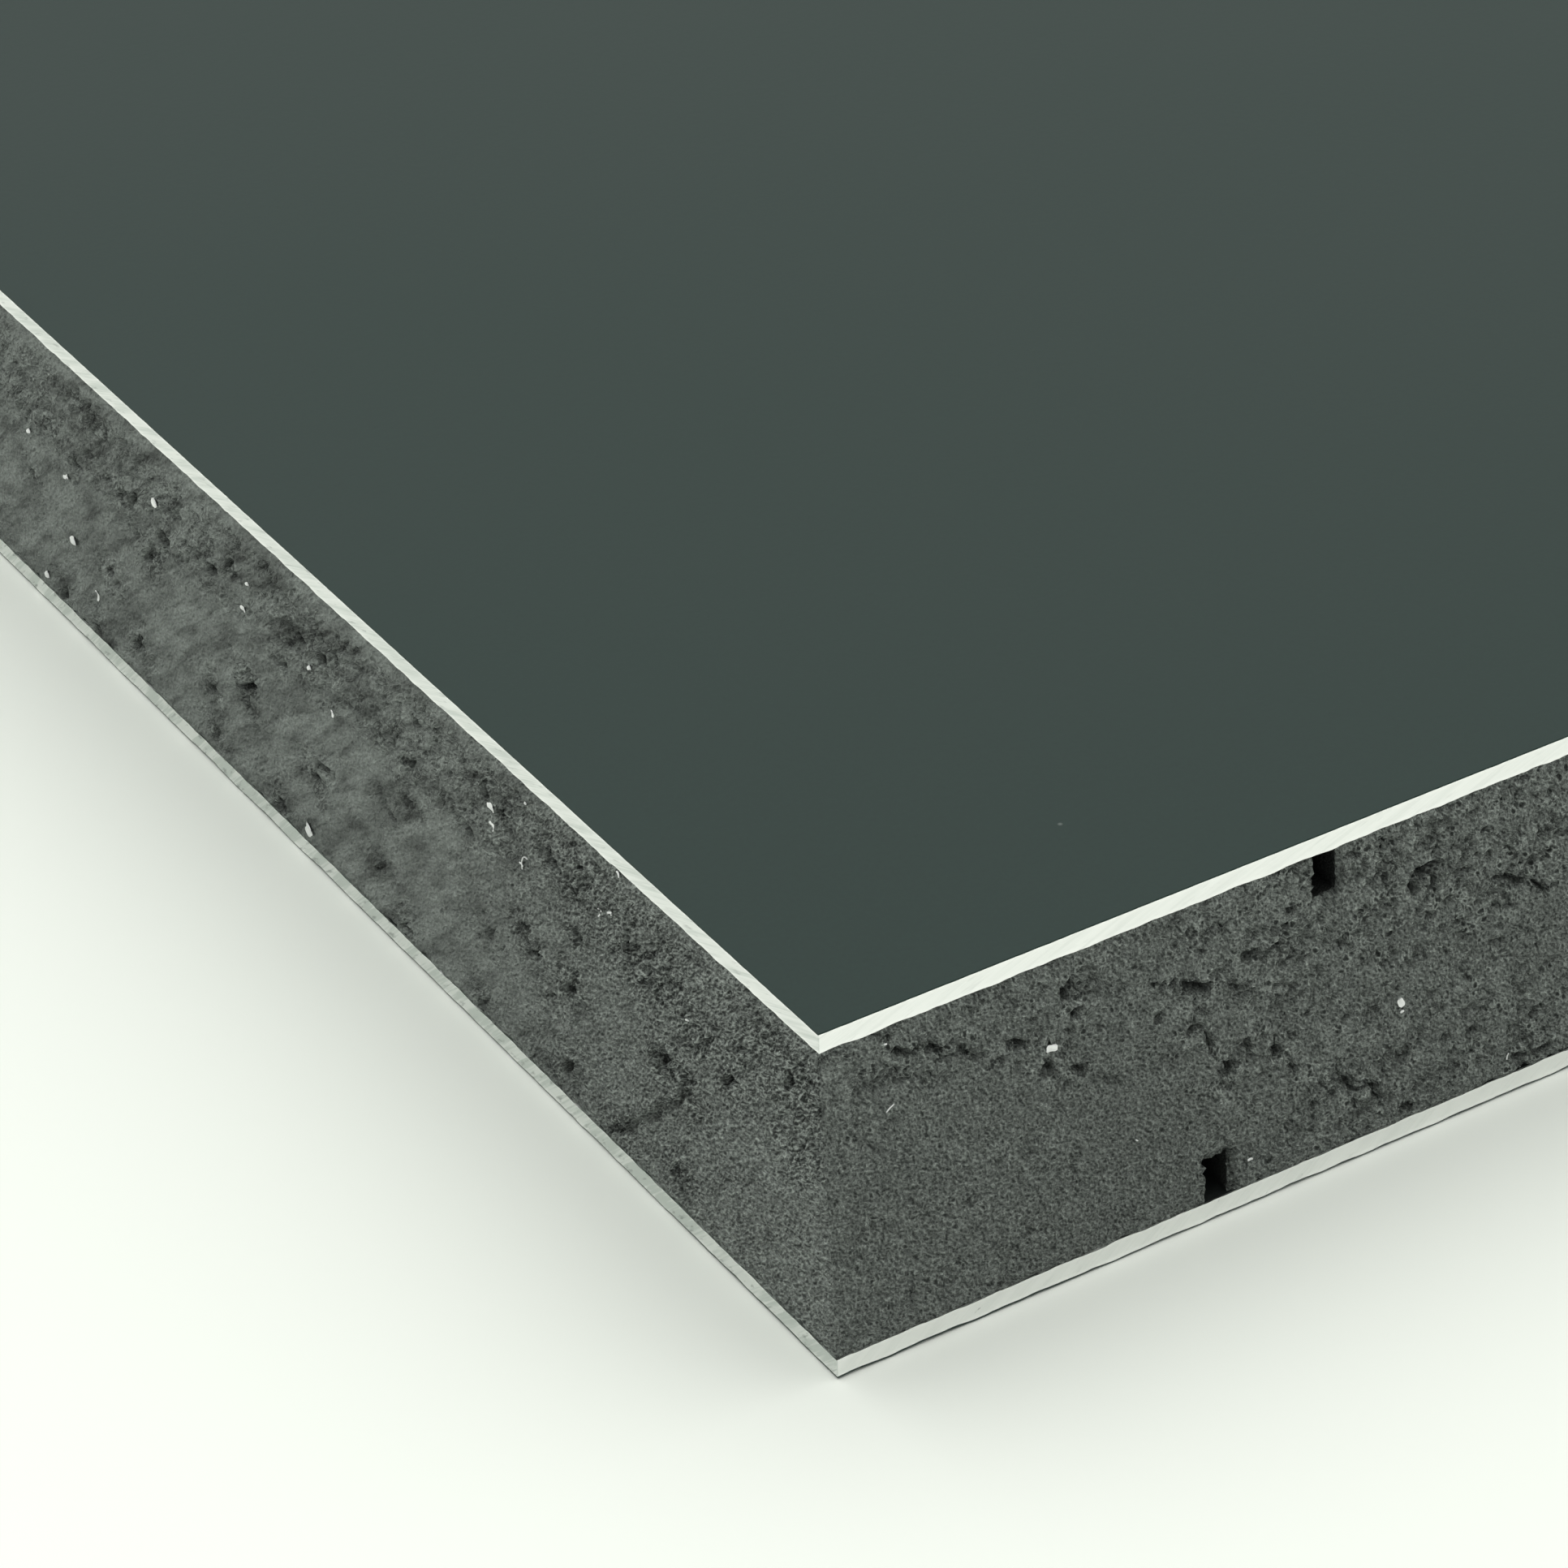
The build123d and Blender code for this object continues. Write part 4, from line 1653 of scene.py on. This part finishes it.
@dataclass
class FacingSheet:
    """One coated sheet: a coat on its outer face, and a bare sawn edge with streaks, a burr and nicks."""

    node: str
    name: str
    coat_side: CoatSide
    coat: bpy.types.Material
    bare: bpy.types.Material
    glue_and_groove_shade: bpy.types.Material
    slot: str = "coated_sheet"
    coat_depth: float = 0.10
    # how much darker the long sides' edge is: partly duller metal, partly painted shade
    dullness_and_shade: float = 0.42
    arris: float = 0.09
    # how far the painted highlight along the rims reaches
    rim_reach: float = 0.09
    arris_depths: tuple[float, ...] = (0.0, 0.035)
    cut_depths: tuple[float, ...] = (0.2, 0.4, 0.7, 1.0, 1.22, 1.40)
    standing_back: tuple[float, ...] = (0.03, 0.012, 0.0, 0.0, 0.0, 0.0, 0.0, 0.0, 0.0, -0.015, 0.14)
    crease: float = 40.0
    row_on_map: float = 0.5
    grading: Grading = Grading(fine=0.20)
    blade: Blade = Blade(centre_level=-112.0)
    relief: EdgeRelief = EdgeRelief()

    def __post_init__(self) -> None:
        """Reads the sheet's box from the frame and places its stations and rows."""
        self.low, self.high = box_of(self.node)
        self.gauge = self.high[2] - self.low[2]
        self.sides = walk_sides(self.low, self.high)
        self.stations = [self.grading.stations(side, self.keys(side), {}) for side in self.sides]
        cut = *self.cut_depths, self.gauge, self.gauge
        self.depths = np.array([*self.arris_depths, self.coat_depth, *cut])

    def keys(self, side: Side) -> Array:
        """The side's ends, with a station close to each for the sharp corner."""
        return np.array([0.0, self.arris, side.length - self.arris, side.length])

    def level(self, depths: Array) -> Array:
        """The heights of depths that are measured from the coat's face."""
        return self.high[2] - depths if self.coat_side is CoatSide.TOP else self.low[2] + depths

    def wear(self, side: Side, stations: Array) -> Places:
        """Works out how worn the cut metal is, and where shade and highlights are painted on it.

        Formula: the long sides are dull, the short ones bright, and each corner's arris is dull. This
        darkening is partly duller metal and partly painted shade. The painted highlight along the rims is a
        bell curve of the distance to the nearer one.

        Args:
            side: The side.
            stations: Places along it.

        Returns:
            How dull and painted dark each point is, and how strong the rims' painted highlight is, both from
            0 to 1.
        """
        dull_and_shade = self.dullness_and_shade if side.lean is Lean.RISING else 0.0
        corner = np.minimum(stations, side.length - stations)[:, None] < TOUCH
        rim = np.minimum(np.abs(self.depths - self.coat_depth), self.gauge - self.depths)
        close = np.broadcast_to(bell(rim, self.rim_reach), (stations.size, rim.size))
        return {DULL_AND_SHADE: np.where(corner, 1.0, dull_and_shade) + 0.0 * close, RIM_HIGHLIGHT: close}

    def edge(self, side: Side, along: Array) -> tuple[Array, Array]:
        """Works out the sawn edge.

        Formula: the streaks less the nicks and less how far each row stands back at rest. The coat's edge
        wavers, the underside's rim sags, and the burr moves the two rows at the foam.

        Args:
            side: The side.
            along: Places along it.

        Returns:
            How far each point stands proud, and its depth from the coat's face.
        """
        under = self.coat_side is CoatSide.UNDERSIDE
        seed = side.seed + self.coat_side.value
        column = along[:, None]
        across, way = self.blade.arcs(column, self.level(self.depths), Lean.RISING)
        rim = np.minimum(self.depths, self.gauge - self.depths)
        proud = self.relief.streaks(across, way, seed) - np.array(self.standing_back)
        proud = proud - self.relief.nicks(column, rim, seed)
        depths = np.broadcast_to(self.depths, proud.shape).copy()
        coat_edge = len(self.arris_depths)
        depths[:, coat_edge] += self.relief.coat_waver(along, side.from_corner(along), seed, under)
        depths[:, :coat_edge + 1] -= self.relief.rim_sag(along, seed)[:, None] * under
        burr = self.relief.burrs(along, seed)
        depths[:, -2] += burr
        depths[:, -3] += burr / 2
        return proud, depths

    def build(self) -> bpy.types.Object:
        """Makes the sheet, dresses it and puts it in the place of its node."""
        shell = Shell()
        places, marks, around, passed = [], [], [], 0.0
        values = {DULL_AND_SHADE: [], RIM_HIGHLIGHT: []}
        for number, (side, stations) in enumerate(zip(self.sides, self.stations)):
            proud, depths = self.edge(side, stations)
            level = self.level(depths)
            arcs = self.blade.arcs(stations[:, None], level, Lean.RISING)
            marks.append(around_cells(np.stack(arcs, axis=-1) + side.seed))
            corner = self.sides[number - 1].outward
            places.append(side.place(stations[:-1, None], proud[:-1], level[:-1], corner))
            around.append(stations[:-1] + passed)
            passed += side.length
            for name, worn in self.wear(side, stations[:-1]).items():
                values[name].append(worn)
        values = {name: np.concatenate(parts) for name, parts in values.items()}
        numbers = shell.points(np.concatenate(places), **values)
        ring, around = np.concatenate([numbers, numbers[:1]]), np.append(np.concatenate(around), passed)
        self.dress(shell, ring, np.concatenate(marks), around)
        piece = shell.make(self.name, [self.coat, self.bare, self.glue_and_groove_shade], crease=self.crease)
        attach(piece, BODY)
        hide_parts(self.node)
        return piece

    def dress(self, shell: Shell, ring: Array, marks: Array, around: Array) -> None:
        """Adds the sheet's faces: the sawn edge as a grid, then the upper and the lower face.

        Args:
            shell: The mesh under construction.
            ring: The edge's point numbers, stations by rows.
            marks: The faces' corners on the saw's arcs.
            around: The stations' places round the ring.
        """
        depths, upper, lower = self.depths, 2, 0
        if self.coat_side is CoatSide.TOP:
            ring, depths, upper, lower = ring[:, ::-1], depths[::-1], 0, 2
            marks = marks[:, ::-1][:, :, [3, 2, 1, 0]]
        bare = np.maximum(depths[1:], depths[:-1]) > self.coat_depth + TOUCH
        along, up = np.broadcast_arrays(around[:, None], np.arange(depths.size) * self.row_on_map)
        sheet = BakeSheet(depths.size * self.row_on_map)
        flat = sheet.spots(around_cells(along), around_cells(up)) / 2
        shell.grid(ring, {SAW_MAP: marks, BAKE_MAP: flat}, finish=bare[None, :].astype(int))
        shell.plate(ring[:-1, -1], self.face_spots(shell, ring[:-1, -1]), upper)
        shell.plate(ring[:-1, 0][::-1], self.face_spots(shell, ring[:-1, 0][::-1]), lower)

    def face_spots(self, shell: Shell, rim: Array) -> Array:
        """Lays a sheet's face on the upper half of the bake map."""
        first, size = np.array([0.55, 0.02]), np.array([0.4, 0.45])
        places = np.concatenate(shell.places)[rim, :2]
        return (first + size * (places - self.low[:2]) / (self.high[:2] - self.low[:2]))[:, ::-1]


# Swarf


@dataclass(frozen=True)
class Chip:
    """One aluminium chip on a sawn side, in millimetres, placed as a wound is.

    Its curl is the angle that it bends through, its lean is how far it tips off the foam, and its roll turns
    the bend from outwards to sideways, all in degrees.
    """

    side: str
    away: float
    level: float
    length: float
    width: float
    tilt: float = 0.0
    curl: float = 30.0
    lean: float = 8.0
    roll: float = 0.0


# Each row holds a chip's values in the order of its fields
CHIP_ROWS = (
    ("near", 17.5, 19.6, 0.85, 0.55, -5, 40), ("near", 45.8, 11.6, 0.70, 0.50, -70, 30),
    ("near", 45.9, 10.8, 0.30, 0.22, 20, 60), ("near", 5.0, 20.1, 0.75, 0.12, 42, 20),
    ("near", 33.2, 3.7, 0.40, 0.22, 10, 60), ("near", 55.0, 3.2, 0.55, 0.12, 80, 50),
    ("near", 24.0, 9.3, 0.22, 0.10, -40, 20), ("near", 4.9, 25.2, 0.22, 0.14, 0, 30),
    ("left", 43.7, 21.7, 1.15, 0.60, 8, 50), ("left", 43.8, 20.1, 0.85, 0.45, -25, 90),
    ("left", 39.4, 19.6, 2.3, 0.16, 52, 100, 5, -80), ("left", 39.8, 19.1, 0.6, 0.2, 5, 40),
    ("left", 28.6, 21.4, 1.1, 0.16, 70, 110), ("left", 27.1, 22.1, 0.9, 0.2, 20, 100),
    ("left", 25.5, 26.2, 0.5, 0.3, -40, 50), ("left", 17.3, 19.0, 0.6, 0.16, 25, 20),
    ("left", 38.4, 24.9, 0.35, 0.25, 30, 30), ("left", 96.5, 20.9, 1.3, 0.8, 32, 40),
    ("left", 80.9, 21.4, 0.8, 0.3, 25, 40), ("left", 82.2, 18.6, 1.0, 0.4, 10, 40),
    ("left", 71.5, 18.9, 0.95, 0.42, 35, 50), ("left", 68.3, 16.6, 0.7, 0.35, 75, 40),
    ("left", 74.8, 2.9, 1.5, 1.1, 50, 35), ("left", 120.0, 16.2, 1.2, 0.4, 30, 40),
    ("left", 113.4, 15.1, 1.4, 0.45, 25, 50), ("left", 113.7, 9.1, 1.4, 0.8, 20, 50),
    ("left", 110.2, 5.8, 1.1, 0.35, 80, 60), ("left", 120.2, 2.8, 1.3, 0.6, 30, 40),
)
CHIPS = [Chip(*row) for row in CHIP_ROWS]


def turned(first: Array, second: Array, degrees: float) -> tuple[Array, Array]:
    """Turns two directions at right angles, the first towards the second, by their cosine and sine."""
    cos, sin = math.cos(math.radians(degrees)), math.sin(math.radians(degrees))
    return cos * first + sin * second, cos * second - sin * first


@dataclass
class Swarf:
    """The chips that the saw threw on the foam."""

    core: FoamCore
    name: str = "saw_swarf"
    slot: str = "coated_sheet"
    thickness: float = 0.09
    stations: int = 7
    section: int = 10
    narrowing: float = 0.35
    narrowing_power: int = 5
    raggedness: float = 0.15
    rags: float = 3.0
    tip_lift: float = 0.1
    crease: float = 50.0
    finish: BrightSwarf = BrightSwarf()

    def foam_height(self, side: Side, along: float, level: float) -> float:
        """How high the foam stands under a chip, and never less than the side itself."""
        place = np.array([[along]]), np.array([[level]])
        relief = self.core.relief.heights(side, *place, self.core.low[2], self.core.high[2])
        return max(float(relief[PROUD][0, 0]), 0.0)

    def chip(self, shell: Shell, chip: Chip) -> None:
        """Adds one chip.

        Formula: an arc that bends through the curl is walked in equal steps. At each step a flat
        ellipse stands across it, which narrows towards both ends, and both ends are closed.

        Args:
            shell: The mesh under construction.
            chip: The chip.
        """
        side = next(s for s in self.core.sides if s.name == chip.side)
        along = side.at(chip.away)
        run, out, up = np.array([*side.run, 0.0]), np.array([*side.outward, 0.0]), np.array([0.0, 0.0, 1.0])
        ahead, over = turned(run, up, chip.tilt)
        ahead, lift = turned(ahead, out, chip.lean)
        lift, over = turned(lift, over, chip.roll)
        curl = math.radians(chip.curl)
        share = np.linspace(-0.5, 0.5, self.stations)[:, None]
        bend = chip.length / curl
        line = (bend * np.sin(share * curl)) * ahead + bend * (1.0 - np.cos(share * curl)) * lift
        line = line - line.mean(axis=0)
        standing = np.cos(share * curl) * lift - np.sin(share * curl) * ahead
        ragged = 1.0 + self.raggedness * wavering(share * self.rags + chip.away, Draw.CHIPS, layers=1)
        narrow = ragged * (1.0 - self.narrowing * np.abs(2 * share) ** self.narrowing_power)
        turn = np.linspace(0.0, math.tau, self.section, endpoint=False)[None, :, None]
        oval = np.cos(turn) * chip.width / 2 * narrow[:, :, None] * over
        oval = oval + np.sin(turn) * self.thickness / 2 * standing[:, None, :]
        start = np.array([side.start[0], side.start[1], chip.level]) + along * run
        tip = self.tip_lift * chip.width * abs(math.sin(math.radians(chip.lean)))
        clear = self.foam_height(side, along, chip.level) + self.thickness / 2 + tip
        numbers = shell.points(start + clear * out + line[:, None, :] + oval)
        around = np.concatenate([numbers, numbers[:, :1]], axis=1)
        shell.grid(around[::-1], {SAW_MAP: np.zeros((self.stations - 1, self.section, 4, 2))})
        shell.plate(numbers[-1], np.zeros((self.section, 2)))
        shell.plate(numbers[0][::-1], np.zeros((self.section, 2)))

    def build(self) -> bpy.types.Object:
        """Makes all the chips as one piece that rides with the panel."""
        shell = Shell()
        for chip in CHIPS:
            self.chip(shell, chip)
        piece = shell.make(self.name, [self.finish.material()], crease=self.crease)
        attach(piece, BODY)
        return piece


# The studio


@dataclass(frozen=True)
class Camera:
    """The camera, placed from the panel's nearest lower corner, in millimetres and degrees."""

    offset: Triple = (-154.07, -269.47, 250.935)
    heading: float = 29.534
    dip: float = 33.286
    roll: float = -3.3926
    lens: float = 138.03
    sensor: float = 36.0
    nearest: float = 10.0
    farthest: float = 50000.0

    def build(self, corner: Array) -> bpy.types.Object:
        """Makes the camera.

        Formula: it looks along the heading, measured from +Y towards +X, and down by the dip. Its right
        is level before the roll turns right and up together about the line of sight.

        Args:
            corner: The panel's nearest lower corner.

        Returns:
            The camera.
        """
        turn, down, roll = (math.radians(v) for v in (self.heading, self.dip, self.roll))
        ahead = np.array([math.sin(turn) * math.cos(down), math.cos(turn) * math.cos(down), -math.sin(down)])
        level = np.array([math.cos(turn), -math.sin(turn), 0.0])
        right = math.cos(roll) * level + math.sin(roll) * np.cross(level, ahead)
        data = bpy.data.cameras.new("camera")
        data.lens, data.sensor_width = self.lens, self.sensor
        data.clip_start, data.clip_end = self.nearest * METRE, self.farthest * METRE
        camera = bpy.data.objects.new("camera", data)
        camera.matrix_world = Matrix.LocRotScale(
            (corner + np.array(self.offset)) * METRE,
            Matrix(np.stack([right, np.cross(right, ahead), -ahead], axis=1).tolist()), None)
        bpy.context.scene.collection.objects.link(camera)
        bpy.context.scene.camera = camera
        return camera


@dataclass(frozen=True)
class Studio:
    """A pale table under an even, soft dome of light, in metres."""

    table_half: float = 6.0
    gap: float = 0.00016
    horizon: float = 0.60
    overhead: float = 1.05
    focus: float = 3.0
    lean: Triple = (0.13, 0.17, 0.0)
    tint: Triple = (0.985, 1.0, 0.98)
    finish: PaleTable = PaleTable()

    def table(self) -> bpy.types.Object:
        """Makes the table, a hair below the panel because the sheet rests on its burrs."""
        mesh = bpy.data.meshes.new("table")
        turns = ((-1, -1), (1, -1), (1, 1), (-1, 1))
        corners = [(x * self.table_half, y * self.table_half, -self.gap) for x, y in turns]
        mesh.from_pydata(corners, [], [(0, 1, 2, 3)])
        mesh.materials.append(self.finish.material())
        table = bpy.data.objects.new("table", mesh)
        bpy.context.scene.collection.objects.link(table)
        return table

    def dome(self) -> bpy.types.World:
        """Makes the dome of light.

        Formula: its strength is the horizon's, plus the overhead part times a power of the height, plus
        a little for directions on the brighter side. The camera sees it white.
        """
        world = bpy.data.worlds.new("soft_dome")
        world.use_nodes = True
        tree = world.node_tree
        tree.nodes.clear()

        def step(operation: str, *inputs: Socket | float) -> Socket:
            """One step of arithmetic."""
            node = add_node(tree, "Math", dict(enumerate(inputs)), operation=operation)
            return node.outputs[0]

        direction = add_node(tree, "TexCoord", {}).outputs["Generated"]
        height = add_node(tree, "SeparateXYZ", {0: direction}).outputs["Z"]
        height = add_node(tree, "Clamp", {"Value": height}).outputs[0]
        aside = add_node(tree, "VectorMath", {0: direction, 1: self.lean}, operation="DOT_PRODUCT")
        aside = step("ADD", aside.outputs["Value"], self.horizon)
        strength = step("MULTIPLY_ADD", step("POWER", height, self.focus), self.overhead, aside)
        seen = add_node(tree, "LightPath", {}).outputs["Is Camera Ray"]
        strength = add_node(tree, "Mix", {0: seen, 2: strength, 3: 1.0}).outputs[0]
        light = add_node(tree, "Background", {"Color": (*self.tint, 1.0), "Strength": strength})
        add_node(tree, "OutputWorld", {"Surface": light.outputs[0]})
        bpy.context.scene.world = world
        return world


def report(piece: bpy.types.Object) -> None:
    """Reports a finished piece and its size."""
    triangles = sum(len(p.vertices) - 2 for p in piece.data.polygons)
    size = ", ".join(f"{d / METRE:.1f}" for d in piece.dimensions)
    LOG.info("%s: %d triangles, %s mm", piece.name, triangles, size)


def main() -> None:
    """Builds the panel's pieces round the frame, then the studio and the camera."""
    logging.basicConfig(level=logging.INFO, format="%(name)s: %(message)s")
    bpy.context.scene.view_settings.view_transform = "Standard"
    finishes = [SatinCoat().material(), SawnAluminium().material(), GlueAndGrooveShade().material()]
    core = FoamCore()
    report(core.build())
    report(FacingSheet("outer_sheet", "outer_facing_sheet", CoatSide.TOP, *finishes).build())
    # the lower sheet's edge is painted darkest, as shade
    inner = FacingSheet("inner_sheet", "inner_facing_sheet", CoatSide.UNDERSIDE, *finishes, coat_depth=0.12,
                        dullness_and_shade=1.0)
    report(inner.build())
    report(Swarf(core).build())
    studio = Studio()
    studio.table()
    studio.dome()
    corner = np.array([core.low[0], core.low[1], 0.0])
    Camera().build(corner)


if __name__ == "__main__":
    main()
